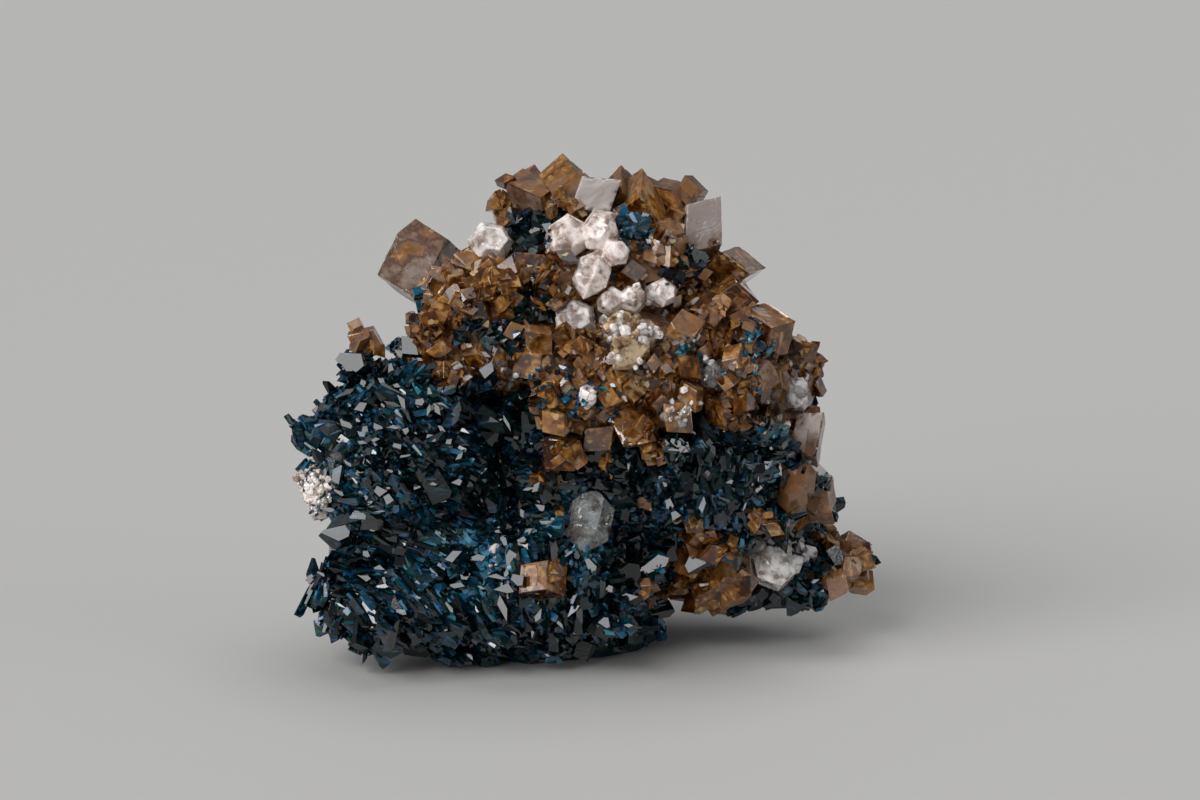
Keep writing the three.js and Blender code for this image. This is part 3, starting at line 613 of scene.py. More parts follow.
quartzSpots = [
    ((-1.3, 0.7), 0.8, 6, (0.35, 0.7), (0, 0.2)),
    ((-31.9, -10), 2.4, 240, (0.2, 0.5), (0, 0.25)),
    ((2.8, 7.5), 1.8, 14, (0.35, 0.8), (0.6, 0.9)),
    ((-9.8, 2.3), 0.9, 4, (0.4, 0.7), (0.3, 0.5)),
    ((-23.2, 7.4), 0.9, 26, (0.25, 0.55), (0, 0.3)),
    ((21.4, 0.8), 1.0, 4, (0.6, 1.2), (0.3, 0.5)),
    ((11.5, 4.6), 1.5, 8, (0.3, 0.7), (0, 0.5)),
    ((8.4, -1.8), 1.2, 5, (0.4, 0.8), (0.4, 0.6)),
    ((6.3, 18.0), 1.4, 10, (0.25, 0.5), (0, 0.3)),
    ((18.5, -2.0), 2.5, 16, (0.25, 0.6), (0, 0.3)),
    ((9.5, -0.5), 2.2, 8, (0.25, 0.5), (0, 0.4)),
    ((-12.0, -17.4), 1.1, 10, (0.25, 0.6), (0, 0.3)),
    ((21.6, -17.0), 1.4, 9, (0.5, 1.1), (0.3, 0.42)),
    ((17.6, -16.0), 1.2, 6, (0.6, 1.3), (0.3, 0.42)),
    ((1.7, 8.0), 1.6, 26, (0.3, 0.7), (0.22, 0.42)),
    ((5.2, 7.4), 1.1, 14, (0.3, 0.6), (0.22, 0.42)),
    ((4.9, 3.8), 1.0, 10, (0.25, 0.5), (0, 0.4)),
    ((1.6, 4.6), 0.9, 10, (0.25, 0.5), (0, 0.4)),
    ((4.6, 11.4), 1.6, 14, (0.3, 0.6), (0.15, 0.35)),
]
# Flat lazulite faces that throw the key light back, as the picture shows them: the place, the two lengths,
# the lean in degrees, and how far they turn away from the mirror position, in degrees
mirrorFacets = [
    ((-21.1, 5.9), 3.8, 2.4, -50, 14), ((-27.4, 4.2), 4.2, 2.0, -30, 12), ((-28.0, 3.6), 1.5, 1.0, -40, 2),
    ((-30.5, 2.7), 1.9, 1.2, -60, 3), ((-26.4, -0.9), 1.6, 1.2, 20, 1), ((-26.2, 1.8), 1.6, 0.7, -35, 2),
    ((-22.6, 1.6), 1.2, 0.5, -10, 3), ((-19.9, -0.2), 1.4, 1.1, 70, 2), ((-18.9, -1.1), 1.4, 0.5, 80, 3),
    ((-18.0, -1.1), 1.9, 0.8, -60, 3), ((-28.1, -2.7), 1.9, 0.8, -30, 2), ((-26.0, -3.4), 1.4, 1.0, -20, 3),
    ((-24.5, -3.0), 1.6, 0.6, -20, 1), ((-22.8, -3.0), 1.1, 0.4, -10, 3), ((-21.6, -3.4), 1.1, 0.7, -20, 2),
    ((-20.3, -3.6), 1.4, 0.4, 0, 2), ((-18.7, -4.2), 1.6, 0.8, -25, 2), ((-16.7, -4.6), 1.1, 0.8, 30, 4),
    ((-26.4, -4.7), 0.9, 0.5, -10, 2), ((-24.9, -4.4), 0.9, 0.5, 10, 2), ((-22.5, -5.2), 1.5, 0.8, -30, 1),
    ((-15.5, -6.3), 1.1, 0.6, 40, 4), ((-13.0, -7.8), 1.2, 0.8, 30, 3), ((-12.4, 3.3), 1.9, 1.7, 60, 14),
    ((-12.6, 5.0), 1.7, 0.6, -30, 2), ((-22.2, 5.2), 1.2, 0.8, -50, 6), ((-29.1, 5.4), 1.2, 0.7, 20, 3),
    ((-24.4, -10.0), 1.8, 1.6, 10, 3), ((-23.4, -11.0), 1.6, 1.4, -20, 8), ((-7.1, -9.7), 1.2, 0.8, 60, 3),
    ((-6.6, -11.1), 1.7, 0.7, -20, 3), ((-7.9, -9.8), 2.0, 0.5, 10, 2), ((-14.1, -17.7), 3.6, 0.9, 5, 1),
    ((-16.3, -17.3), 1.8, 1.2, 30, 2), ((-17.8, -18.8), 1.9, 1.2, 35, 2), ((-17.3, -19.9), 1.4, 0.7, 10, 5),
    ((-14.9, -19.4), 1.4, 1.3, 80, 3), ((-9.2, -19.9), 2.1, 1.2, -30, 1), ((-8.0, -21.2), 1.4, 1.6, 70, 2),
    ((-10.8, -22.9), 2.6, 1.0, -65, 1), ((-6.9, -23.9), 1.9, 1.0, 75, 1), ((-1.0, -18.5), 2.1, 1.0, -65, 3),
    ((0.9, -21.0), 1.4, 0.8, 20, 10), ((-0.7, -25.2), 2.0, 1.5, 10, 14), ((0.6, -24.5), 1.4, 1.3, 50, 14),
    ((7.7, -11.6), 1.5, 1.3, 0, 6), ((8.3, -12.9), 1.4, 1.0, 70, 10), ((-13.1, -7.9), 1.4, 0.8, 10, 4),
    ((11.4, -11.6), 1.7, 0.8, 80, 8), ((13.3, -15.2), 1.7, 1.1, -10, 14), ((14.3, -9.1), 1.1, 0.4, 10, 3),
    ((-7.2, 18.7), 1.9, 1.1, 35, 3), ((-6.0, 19.2), 1.6, 1.0, -25, 4), ((9.4, 14.6), 2.4, 0.7, 50, 5),
]
clearedFor = [(at, radius) for at, radius, *_ in sideriteSpots + quartzSpots]
clearedFor += [(at, (length + width) * 0.3) for at, length, width, *_ in mirrorFacets]


# How far a point of the front lies outside the nearest mirror face or gathering of siderite or quartz
def clearOfSpots(point, normal):
    if normal @ toCamera < 0:
        return 1
    place = inPicture(point[None])[0]
    return min(max(0, math.dist(place, at) - radius * 0.9) for at, radius in clearedFor) * mm


# Crystals gathered about a place in the picture, each as (point, normal, half length, value)
def gathered(spots, random):
    for (across, up), radius, count, halves, values in spots:
        for _ in range(count):
            turn, reach = random.uniform(0, 2 * math.pi), radius * math.sqrt(random.random())
            half, value = random.uniform(*halves) * mm, random.uniform(*values)
            point, normal = seenAt(across + reach * math.cos(turn), up + reach * math.sin(turn))
            if point is not None and hasRoom(point, normal, half * 0.5):
                yield point, normal, half, value


# Lazulite crystals lie in bundles: each takes the direction of the nearest bundle, with some play. The large
# ones stand in clear patches and the small ones fill the rest.
lazuliteCrystals = {
    "bundleSpacing": 5.5 * mm,
    "patch": 4.5 * mm,
    "sizes": [
        {"name": "lazulite_crystals_large", "forms": chunks, "spacing": 2.0 * mm, "half": (0.9, 1.9),
         "flat": (0.35, 0.9), "proud": 0.3, "tint": (0, 0.5), "patches": (0.0, 0.56)},
        {"name": "lazulite_crystals_medium", "forms": chunks, "spacing": 1.25 * mm, "half": (0.55, 1.15),
         "flat": (0.3, 0.9), "proud": 0.25, "tint": (0, 0.75), "patches": (0.0, 0.8)},
        {"name": "lazulite_crystals_small", "forms": grains, "spacing": 0.68 * mm, "half": (0.22, 0.62),
         "flat": (0.25, 0.7), "proud": 0.2, "tint": (0.25, 1), "patches": (0.36, 1)},
    ],
}
leftLobe = -8 * mm  # left of this the crystals lie one way, and are longer and narrower
leftSweep = np.array([0.8, 0.0, -0.45])

# Recesses of the front, where the lazulite is painted darker as shade: the place and the radius
paintedShadeSpots = [((1.7, -7.2), 6.5), ((-9, -9.5), 4), ((-22, -15.5), 3.5), ((3, -18), 4), ((-13, -1), 3.5),
             ((13, -6.5), 7)]


# How much of its blue a crystal keeps: little in the recesses, where its colour is darkened as painted shade
def blueLeftUnderPaintedShade(point):
    place = inPicture(point[None])[0]
    inside = max(1 - math.dist(place, at) / radius for at, radius in paintedShadeSpots)
    return 1 - 0.8 * min(1, max(0, inside * 2))


# How far a place belongs to the patches of small crystals, from 0 to 1
def patchiness(point, size):
    return 0.5 + 0.5 * noise.noise(Vector(point) / size) + 0.15 * noise.noise(Vector(point) / (0.3 * size))


def bundlesOn(triangles, spacing, random):
    points, normals = spreadPoints(triangles, spacing, random)
    tree = KDTree(len(points))
    directions = []
    for i, (point, normal) in enumerate(zip(points, normals)):
        tree.insert(point, i)
        sweep = leftSweep if point[0] < leftLobe else random.normal(size=3)
        tangent = unit(sweep - normal * (sweep @ normal))
        directions.append(unit(tangent + random.normal(size=3) * 0.25 + normal * random.uniform(0, 0.5)))
    tree.balance()
    return tree, directions


def dressLazulite(setup):
    random = np.random.default_rng(21)
    triangles = trianglesOf(["lazulite_mass"])
    tree, directions = bundlesOn(triangles, setup["bundleSpacing"], random)
    for size in setup["sizes"]:
        crystals = []
        points, normals = spreadPoints(triangles, size["spacing"], random)
        for point, normal in zip(points, normals):
            half, tint = random.uniform(*size["half"]) * mm, random.uniform(*size["tint"])
            form, tone = size["forms"][random.integers(len(size["forms"]))], random.uniform(-0.12, 0.16, 6)
            if point[2] < 0.5 * mm or not hasRoom(point, normal, half):
                continue
            if not size["patches"][0] < patchiness(point, setup["patch"]) < size["patches"][1]:
                continue
            drawn = 1.3 if point[0] < leftLobe and normal[2] > -0.2 else 1
            half = min(half, 0.3 * mm + seatedDistance(point), 0.3 * mm + clearOfSpots(point, normal) / drawn)
            # Painted shade: in the recesses the crystal loses its blue and is made darker
            tint *= blueLeftUnderPaintedShade(point)
            bundled = random.random() < 0.75
            direction = directions[tree.find(point)[1]] if bundled else unit(random.normal(size=3))
            direction = unit(direction + random.normal(size=3) * 0.16)
            widths = half * np.array([random.uniform(0.45, 0.85), random.uniform(*size["flat"])]) / drawn
            axes = axesAlong(direction, widths, half * random.uniform(1, 1.35) * drawn, random)
            crystals.append((form, axes, point + normal * half * size["proud"], tint, tone))
        crystalPiece(size["name"], crystals, "lazulite")


dressLazulite(lazuliteCrystals)


# Crystals in the gap beside the left quartz, as x, z and half length in millimetres
crownGap = [(-7.9, 47.0, 1.3), (-7.4, 45.6, 1.2), (-8.2, 48.6, 1.1), (-8.6, 45.2, 0.9), (-7.0, 48.2, 1.2),
            (-9.2, 44.0, 0.8), (-5.0, 47.8, 1.3), (-6.0, 48.1, 1.2), (-4.0, 47.6, 1.1), (-5.3, 46.5, 1.1)]


# The lazulite between the crown's rhombs is one dark crystal group each, with small ones over it.
def dressCrownLazulite():
    random = np.random.default_rng(23)
    for name in seated:
        if slotOf[name] != "lazulite":
            continue
        tints = (0.4, 0.75) if name == "lazulite_crown_middle" else (0, 0.45)
        crystals = []
        for spacing, halves in ((1.3 * mm, (0.7, 1.4)), (0.8 * mm, (0.3, 0.6))):
            for point, normal in zip(*spreadPoints(trianglesOf([name]), spacing, random)):
                half = random.uniform(*halves) * mm
                if not hasRoom(point, normal, half):
                    continue
                half = min(half, 0.15 * mm + quartzTree.find_nearest(Vector(point))[3])
                direction = unit(normal + random.normal(size=3) * 0.8)
                axes = axesAlong(direction, half * random.uniform(0.4, 0.9, 2), half, random)
                tone = random.uniform(-0.12, 0.16, 6)
                tint = random.uniform(*tints)
                crystals.append((chunks[random.integers(len(chunks))], axes, point, tint, tone))
        if name == "lazulite_crown_left":
            depth = trianglesOf([name])["corners"][:, :, 1].mean() / mm
            for x, z, half in crownGap:
                along = random.normal(size=3)
                widths = half * random.uniform(0.5, 0.9, 2) * mm
                axes = axesAlong(along, widths, half * mm, random)
                form = chunks[random.integers(len(chunks))]
                crystals.append((form, axes, np.array([x, depth, z]) * mm, random.uniform(0, 0.5), 0))
        crystalPiece(name + "_crystals", crystals, "lazulite")


dressCrownLazulite()


def dressBlueSpots():
    random = np.random.default_rng(44)
    crystals = []
    for point, normal, half, tint in gathered(blueSpots, random):
        half = min(half, 0.25 * mm + seatedDistance(point))
        direction = unit(normal + random.normal(size=3) * 0.6)
        widths = random.uniform(0.5, 0.9, 2) * half
        axes = axesAlong(direction, widths, half, random)
        tone = random.uniform(-0.2, 0.1, 6)
        crystals.append((grains[random.integers(len(grains))], axes, point + normal * half * 0.4, tint, tone))
    crystalPiece("lazulite_gathered", crystals, "lazulite")


dressBlueSpots()


# Places of more such faces on the front, smaller and by chance, which lean as the left lobe's crystals do
def smallMirrors(random):
    points, normals = spreadPoints(trianglesOf(["lazulite_mass"]), 1.9 * mm, random)
    for point, normal in zip(points, normals):
        place = inPicture(point[None])[0]
        seen, _ = seenAt(*place)
        shown = normal @ toCamera > 0.25 and seen is not None and np.linalg.norm(seen - point) < 1.5 * mm
        clear = shown and min(clearOfSpots(point, normal), seatedDistance(point)) > 0.6 * mm
        # No such faces where the lazulite is painted dark as shade
        if clear and blueLeftUnderPaintedShade(point) > 0.5 and random.random() < 0.6:
            length = random.uniform(0.8, 2.2)
            lean = random.normal(-27, 18) if place[0] * mm < leftLobe else random.uniform(-90, 90)
            yield place, length, length * random.uniform(0.2, 0.5), lean, random.uniform(3, 17)


def dressMirrors(setup):
    random = np.random.default_rng(12)
    setup = setup + list(smallMirrors(random))
    crystals = []
    mirror = unit(toCamera + unit(np.array(studio["suns"][0]["from"])))
    right = np.array([1.0, 0, 0])
    for (across, up), length, width, lean, away in setup:
        point, _ = seenAt(across, up)
        if point is None:
            continue
        facing = unit(mirror + unit(random.normal(size=3)) * math.tan(math.radians(away)))
        angle = math.radians(lean)
        along = right * math.cos(angle) + viewUp * math.sin(angle)
        along = unit(along - facing * (along @ facing))
        other = np.cross(facing, along)
        axes = np.column_stack([along * length * 0.58, other * width * 0.58, facing * 2]) * mm
        middle = point + toCamera * 1.6 * mm
        crystals.append((facets[random.integers(len(facets))], axes, middle, random.uniform(0, 0.4), 0))
    crystalPiece("lazulite_large_faces", crystals, "lazulite")


dressMirrors(mirrorFacets)


# How clouded the siderite is by place in the picture, from 0 for dark and glassy over 0.4 for amber to 1 for
# lilac grey: the place, the radius and the tone
sideriteTones = [
    ((-19.4, 15), 3.0, 0.725), ((-7.1, 23), 3, 0.7), ((-5.3, 20.4), 1.8, 0.42), ((-3.4, 24.7), 2.2, 0.4),
    ((-10.4, 21.1), 2.2, 0.38), ((2, 23.3), 2.4, 0.62), ((7.4, 22.6), 3.4, 0.58), ((-0.4, 21.2), 2.3, 0.98),
    ((10.9, 18.7), 3, 0.94), ((6.3, 16.4), 1.8, 0.66), ((14.4, 15.2), 4, 0.3), ((-16.1, 12.8), 2.6, 0.22),
    ((-10.1, 12.2), 2.4, 0.42), ((-13.4, 9.4), 2.0, 0.03), ((-6.4, 14), 2, 0.12), ((-17, 3.2), 1.8, 0.44),
    ((-7.8, 5.3), 3.6, 0.38), ((-25.6, 7), 1.8, 0.5), ((12.8, 7.2), 3, 0.45), ((20.5, 5.1), 2, 0.34),
    ((21, 1.1), 1.6, 0.95), ((11.2, 1), 1.5, 0.5), ((9.2, 0.2), 1.4, 0.54), ((19.1, 0.6), 2.4, 0.66),
    ((22.2, -4.6), 2.4, 0.7), ((22.4, -11.1), 2.4, 0.62), ((28, -17.5), 3, 0.52), ((12, -18.6), 4.2, 0.36),
    ((11.3, -14.1), 1.6, 0.52), ((-6.2, -19.3), 2, 0.42), ((-3.9, -5.9), 1.6, 0.26), ((3.8, -2.8), 2, 0.42),
    ((8.7, -2.1), 1.8, 0.4), ((13.8, -1.9), 2, 0.42), ((-0.1, -4.3), 2, 0.38), ((12.5, 10.4), 2, 0.36),
]


def toneAt(point, random):
    place = inPicture(np.array(point)[None])[0]
    close = [(math.dist(place, at) / radius, tone) for at, radius, tone in sideriteTones]
    nearest, tone = min(close)
    free = random.choice([0.12, 0.33, 0.5, 0.75], p=[0.3, 0.45, 0.2, 0.05]) + random.uniform(-0.1, 0.1)
    return tone + random.uniform(-0.05, 0.05) if nearest < 1 and point[1] < 6 * mm else free


# The rhombs in a siderite solid, found by their faces: those of one rhomb meet over convex edges at its own
# angle. What is left over is closed up behind, as chips of the faces that it shows.
rhombEdgeCosine = (0.13, 0.32)
leastFace = 0.1 * mm ** 2
bridgedGap = 0.4 * mm


def rhombsIn(name):
    mesh = bmesh.new()
    mesh.from_mesh(nodes[name].data)
    bmesh.ops.remove_doubles(mesh, verts=mesh.verts, dist=1e-7)
    mesh.faces.index_update()
    parent = list(range(len(mesh.faces)))

    def root(i):
        while parent[i] != i:
            i = parent[i]
        return i

    for edge in mesh.edges:
        if len(edge.link_faces) != 2:
            continue
        one, other = edge.link_faces
        cosine = one.normal.dot(other.normal)
        corner = edge.is_convex and rhombEdgeCosine[0] < abs(cosine) < rhombEdgeCosine[1]
        if cosine > 0.9999 or corner:
            parent[root(one.index)] = root(other.index)
    groups = {}
    for face in mesh.faces:
        groups.setdefault(root(face.index), []).append(face)
    rhombs, chipForms = [], []
    for group in groups.values():
        rhomb = rhombOf(group)
        if rhomb:
            rhombs.append(rhomb)
        elif sum(face.calc_area() for face in group) > leastFace:
            chipForms += chipsOf(group)
    mesh.free()
    return rhombs, chipForms


# The whole rhomb that a group of faces belongs to: its middle and its three half edges
def rhombOf(faces):
    normals = []
    for face in sorted(faces, key=lambda face: -face.calc_area()):
        if face.calc_area() > 0.05 * mm ** 2 and all(abs(face.normal.dot(n)) < 0.9 for n in normals):
            normals.append(face.normal.copy())
    if len(normals) != 3:
        return None
    normals = np.array(normals)
    points = np.array([vertex.co[:] for face in faces for vertex in face.verts])
    heights = points @ normals.T
    low, high = heights.min(axis=0), heights.max(axis=0)
    turned = np.linalg.inv(normals)
    return {"middle": turned @ ((low + high) / 2), "axes": turned @ np.diag((high - low) / 2),
            "size": (high - low).max()}


# A chip that closes up left-over faces, and how far its front stands off the solid at most
def chipOf(faces):
    normal = unit(sum(np.array(face.normal) * face.calc_area() for face in faces))
    points = np.array([vertex.co[:] for face in faces for vertex in face.verts]) / mm
    behind = points.mean(axis=0) - normal * 0.9
    form = hullForm(list(points + normal * 0.05) + [behind])
    corners = form["points"][form["faces"]] * mm
    crossed = np.cross(corners[:, 1] - corners[:, 0], corners[:, 2] - corners[:, 0])
    front = corners.mean(axis=1)[crossed @ normal > 0]
    return form, max(wholeTree.find_nearest(Vector(point))[3] for point in front)


# Faces that one chip would bridge over open air get a chip for each of their planes.
def chipsOf(faces):
    form, gap = chipOf(faces)
    if gap < bridgedGap:
        return [form]
    planes = {}
    for face in faces:
        plane = [round(value, 1) for value in (*face.normal, face.normal.dot(face.verts[0].co) / mm)]
        planes.setdefault(tuple(plane), []).append(face)
    return [chipOf(part)[0] for part in planes.values() if sum(face.calc_area() for face in part) > leastFace]


sideriteSkin = 0.07 * mm  # how far the dressed rhombs stand out of the solid's own


def grown(axes, extra):
    normals = np.linalg.inv(axes)
    halves = 1 / np.linalg.norm(normals, axis=1)
    return axes @ np.diag((halves + extra) / halves)


# A rhomb and the blocks that grew on it in parallel, which leave steps on its faces
def steppedRhomb(rhomb, random, steps, tint, tone):
    axes = grown(rhomb["axes"], sideriteSkin)
    sides = tone + random.uniform(-0.07, 0.07, 6)
    # Painted light and shade: faces turned up are moved up the tone scale and faces turned down moved down
    # it, tops cloudier and undersides deeper amber, as light falls from above
    for k, normal in enumerate(np.linalg.inv(axes)):
        rise = 0.14 * unit(normal)[2]
        sides[2 * k:2 * k + 2] += (-rise, rise)
    crystals = [(blocks[random.integers(len(blocks))], axes, rhomb["middle"], tint, sides)]
    for _ in range(steps):
        share = random.uniform(0.35, 0.8, 3)
        side = random.integers(3)
        place = random.uniform(-1, 1, 3) * (1 - share)
        lift = random.uniform(0.02, 0.06)
        place[side] = (1 - share[side] + lift) * random.choice([-1, 1])
        middle = rhomb["middle"] + axes @ place
        crystals.append((blocks[random.integers(len(blocks))], axes @ np.diag(share), middle,
                         random.random(), sides + random.uniform(-0.06, 0.06)))
    return crystals


# A cube's skin as a fine grid with rounded edges: points, the way out of each, triangles and sides
def fineSkin(lines, rounding):
    inner, rim = 1 - rounding, 1 - rounding * 0.4
    across = np.unique(np.concatenate([np.linspace(-inner, inner, lines), [-1, -rim, rim, 1]]))
    count = len(across)
    a, b = np.meshgrid(across, across, indexing="ij")
    corner = np.arange((count - 1) * count).reshape(count - 1, count)[:, :-1].ravel()
    squares = np.column_stack([corner, corner + count, corner + count + 1, corner + 1])
    points, quads, sides = [], [], []
    for axis in range(3):
        for end in (-1, 1):
            sheet = np.empty((count * count, 3))
            sheet[:, axis] = end
            sheet[:, (axis + 1) % 3], sheet[:, (axis + 2) % 3] = a.ravel(), b.ravel()
            turned = squares if end > 0 else squares[:, ::-1]
            quads.append(turned + len(points) * count * count)
            points.append(sheet)
            sides.append(np.full(len(squares) * 2, axis * 2 + (end > 0)))
    points, index = np.unique(np.concatenate(points).round(6), axis=0, return_inverse=True)
    quads = index.ravel()[np.concatenate(quads)]
    faces = np.column_stack([quads[:, [0, 1, 2]], quads[:, [0, 2, 3]]]).reshape(-1, 3)
    core = points.clip(-inner, inner)
    out = (points - core) / np.linalg.norm(points - core, axis=1)[:, None]
    return {"flat": points, "points": core + out * rounding, "out": out, "faces": faces,
            "sides": np.concatenate(sides)}


# A large rhomb's skin: slightly wavy, with low growth steps, and chipped along its edges. Waves, grain, steps
# and chips each have their height and their width, in millimetres.
largeRhomb = {
    "from": 3.1 * mm,
    "grid": 0.26 * mm,
    "rounding": 0.022,
    "wave": (0.05, 2.4),
    "grain": (0.012, 0.4),
    "step": (0.07, 1.9),
    "chip": (0.22, 0.8),
}


def weathered(rhomb, setup, grid, seed):
    skin = fineSkin(int(np.clip(rhomb["size"] / grid, 8, 72)), setup["rounding"])
    axes = grown(rhomb["axes"], sideriteSkin)
    placed = (skin["points"] @ axes.T + rhomb["middle"]) / mm
    outs = skin["out"] @ np.linalg.inv(axes)
    outs /= np.linalg.norm(outs, axis=1)[:, None]
    edges = np.sort(np.abs(skin["flat"]), axis=1)[:, 1]
    shift = Vector((seed * 7.3, seed * 3.1, 0))
    (wave, waveSize), (grain, grainSize) = setup["wave"], setup["grain"]
    (step, stepSize), (chip, chipSize) = setup["step"], setup["chip"]
    for i, (point, out) in enumerate(zip(placed, outs)):
        at = Vector(point) + shift
        height = wave * noise.noise(at / waveSize) + grain * noise.noise(at / grainSize)
        height += step * math.floor(noise.noise(at / stepSize + Vector((0, 9, 0))) * 4) / 4
        if edges[i] > 0.9:
            broken = noise.noise(at / chipSize) + 0.5 * noise.noise(at / (chipSize * 0.375))
            height -= chip * max(0, broken - 0.15) * (edges[i] - 0.9) / 0.1 * 1.6
        placed[i] = point + out * height
    return {"points": placed, "faces": skin["faces"], "sides": skin["sides"]}


inPlace = (np.eye(3) * mm, np.zeros(3))  # the axes and middle of a form that already stands in its place

# What two large rhombs show on the face to the front, at places in the picture: clouds with their half sizes,
# leans in degrees and change of tone, a pit with its radius and depth, corners that are blunt past a distance
# from the rhomb's middle, and fine cracks from place to place
leftRhomb = {
    "at": (-19.9, 15.2),
    "grid": 0.11 * mm,
    "clouds": [((-20.1, 14.3), (2.7, 1.5), 35, 0.1), ((-20.0, 18.0), (1.7, 0.7), -20, 0.1),
               ((-22.2, 16.6), (1.3, 1.6), 20, -0.12), ((-23.4, 14.2), (1.2, 0.8), 30, 0.1)],
    "pit": ((-23.0, 16.4), 0.4, 0.45),
    "blunt": [((-0.64, 0.77), 4.6)],
    "cracks": [((-22.2, 14.2), (-20.5, 15.2)), ((-20.9, 13.4), (-20.1, 14.0))],
}
rightPlate = {
    "at": (10.9, 18.7),
    "grid": 0.11 * mm,
    "clouds": [((12.6, 17.4), (0.8, 0.6), 30, -0.4), ((9.8, 17.6), (1.4, 1.2), -30, -0.2)],
    "pit": ((12.7, 17.5), 0.45, 0.2),
    "blunt": [],
    "cracks": [((9.9, 20.1), (11.3, 19.4)), ((10.6, 18.6), (12.9, 19.4)), ((10.3, 17.2), (11.0, 18.4))],
}


# The tone of each face of such a rhomb's skin, from those of its sides
def cloudedTones(form, sides, setup):
    middles = form["points"][form["faces"]].mean(axis=1)
    places = inPicture(middles * mm)
    tones = sides[form["sides"]]
    ragged = np.array([noise.noise(Vector(middle) / 0.9) + 0.5 * noise.noise(Vector(middle) / 0.3)
                       for middle in middles])
    for at, halves, lean, change in setup["clouds"]:
        turn = math.radians(lean)
        offset = places - np.array(at)
        along = offset @ np.array([math.cos(turn), math.sin(turn)]) / halves[0]
        other = offset @ np.array([-math.sin(turn), math.cos(turn)]) / halves[1]
        inside = 1 - np.hypot(along, other) + 0.5 * ragged
        tones = tones + change * inside.clip(0, 0.4) / 0.4
    tones[pitShare(middles, setup["pit"]) < 0.8] = 0.1
    return tones


# How far points lie from the pit's middle, where its ragged rim is 1. The rhomb's back counts as far off.
def pitShare(points, pit):
    at, radius, _ = pit
    ragged = np.array([noise.noise(Vector(point) / 0.35) for point in points])
    share = np.linalg.norm(inPicture(points * mm) - np.array(at), axis=1) / radius + 0.6 * ragged
    return np.where(points[:, 1] < np.median(points[:, 1]), share, 9)


# Presses the pit into the rhomb's skin, and blunts its corners
def pressMarks(form, middle, setup):
    share = pitShare(form["points"], setup["pit"]).clip(0, 1)
    points = form["points"] - toCamera * (setup["pit"][2] * (1 - share ** 2))[:, None]
    for (across, up), distance in setup["blunt"]:
        direction = unit(np.array([across, 0, 0]) + viewUp * up)
        past = (points - middle / mm) @ direction - distance
        points = points - direction * past.clip(0, None)[:, None]
    form["points"] = points


# Fine cracks in a rhomb's skin, as dark slivers set end to end along it
def crackSlivers(form, setup):
    random = np.random.default_rng(3)
    tree = BVHTree.FromPolygons((form["points"] * mm).tolist(), form["faces"].tolist())
    slivers = []
    for start, end in setup["cracks"]:
        found = []
        for share in np.linspace(0, 1, 9):
            place = np.array(start) + share * (np.array(end) - start) + random.uniform(-0.07, 0.07, 2)
            point, normal = seenAt(*place, tree)
            if point is not None:
                found.append((point, normal))
        for (one, normal), (other, _) in zip(found, found[1:]):
            along = (other - one) / 2
            across = unit(np.cross(along, normal)) * random.uniform(0.02, 0.045) * mm
            axes = np.column_stack([along * 1.15, across, normal * 0.04 * mm])
            slivers.append((chunks[0], axes, (one + other) / 2, 0.5, 0))
    return slivers


# The marks of a large rhomb, if it is one of the two
def marksOf(rhomb):
    place = inPicture(rhomb["middle"][None])[0]
    for marks in (leftRhomb, rightPlate):
        if math.dist(place, marks["at"]) < 1.6:
            return marks
    return None


# All the rhombs of a solid, as crystals for two pieces: the plain ones, and the large ones with a fine skin
def dressedRhombs(name, random):
    rhombs, chipForms = rhombsIn(name)
    plain, fine = [], []
    for number, rhomb in enumerate(rhombs):
        tone, tint = toneAt(rhomb["middle"], random), random.random()
        steps = 0 if rhomb["size"] < 2 * mm else random.integers(0, 4)
        stepped = steppedRhomb(rhomb, random, steps, tint, tone)
        if rhomb["size"] > largeRhomb["from"]:
            marks = marksOf(rhomb)
            grid = marks["grid"] if marks else largeRhomb["grid"]
            form, sides = weathered(rhomb, largeRhomb, grid, number), stepped[0][4]
            stepped = stepped[1:]
            if marks:
                pressMarks(form, rhomb["middle"], marks)
                normals = np.linalg.inv(rhomb["axes"])
                across = normals[:, 0] / np.linalg.norm(normals, axis=1)
                # Painted shade: the side turned to the right, away from the key light, is made darker
                sidesWithPaintedShade = tone - 0.5 * np.column_stack([-across, across]).clip(0, 1).ravel()
                sides = cloudedTones(form, sidesWithPaintedShade, marks)
                stepped = crackSlivers(form, marks)
            fine.append((form, *inPlace, tint, sides))
        plain += stepped
    for form in chipForms:
        tone = toneAt(form["points"].mean(axis=0) * mm, random)
        plain.append((form, *inPlace, random.random(), tone + random.uniform(-0.1, 0.1, 6)))
    return rhombs, plain, fine


def bakeModifiers(piece):
    shown = piece.evaluated_get(bpy.context.evaluated_depsgraph_get())
    mesh = bpy.data.meshes.new_from_object(shown)
    piece.modifiers.clear()
    piece.data = mesh


# The crown's inside, well below its crystals
crownCore = {"voxel": 0.4 * mm, "depth": 0.9 * mm}


def shrunkCore(name, setup):
    piece = bpy.data.objects.new(name + "_core", nodes[name].data.copy())
    bpy.context.scene.collection.objects.link(piece)
    remesh = piece.modifiers.new("remesh", "REMESH")
    remesh.mode = "VOXEL"
    remesh.voxel_size = setup["voxel"]
    displace = piece.modifiers.new("displace", "DISPLACE")
    displace.strength, displace.mid_level = -setup["depth"], 0
    bakeModifiers(piece)
    piece.data.materials.clear()
    piece.data.materials.append(materials["sideriteCore"])
    for attribute, value in (("tint", 0.3), ("tone", 0.4)):
        layer = piece.data.attributes.get(attribute) or piece.data.attributes.new(attribute, "FLOAT", "FACE")
        layer.data.foreach_set("value", [value] * len(piece.data.polygons))
    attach(piece, "root")
    return piece


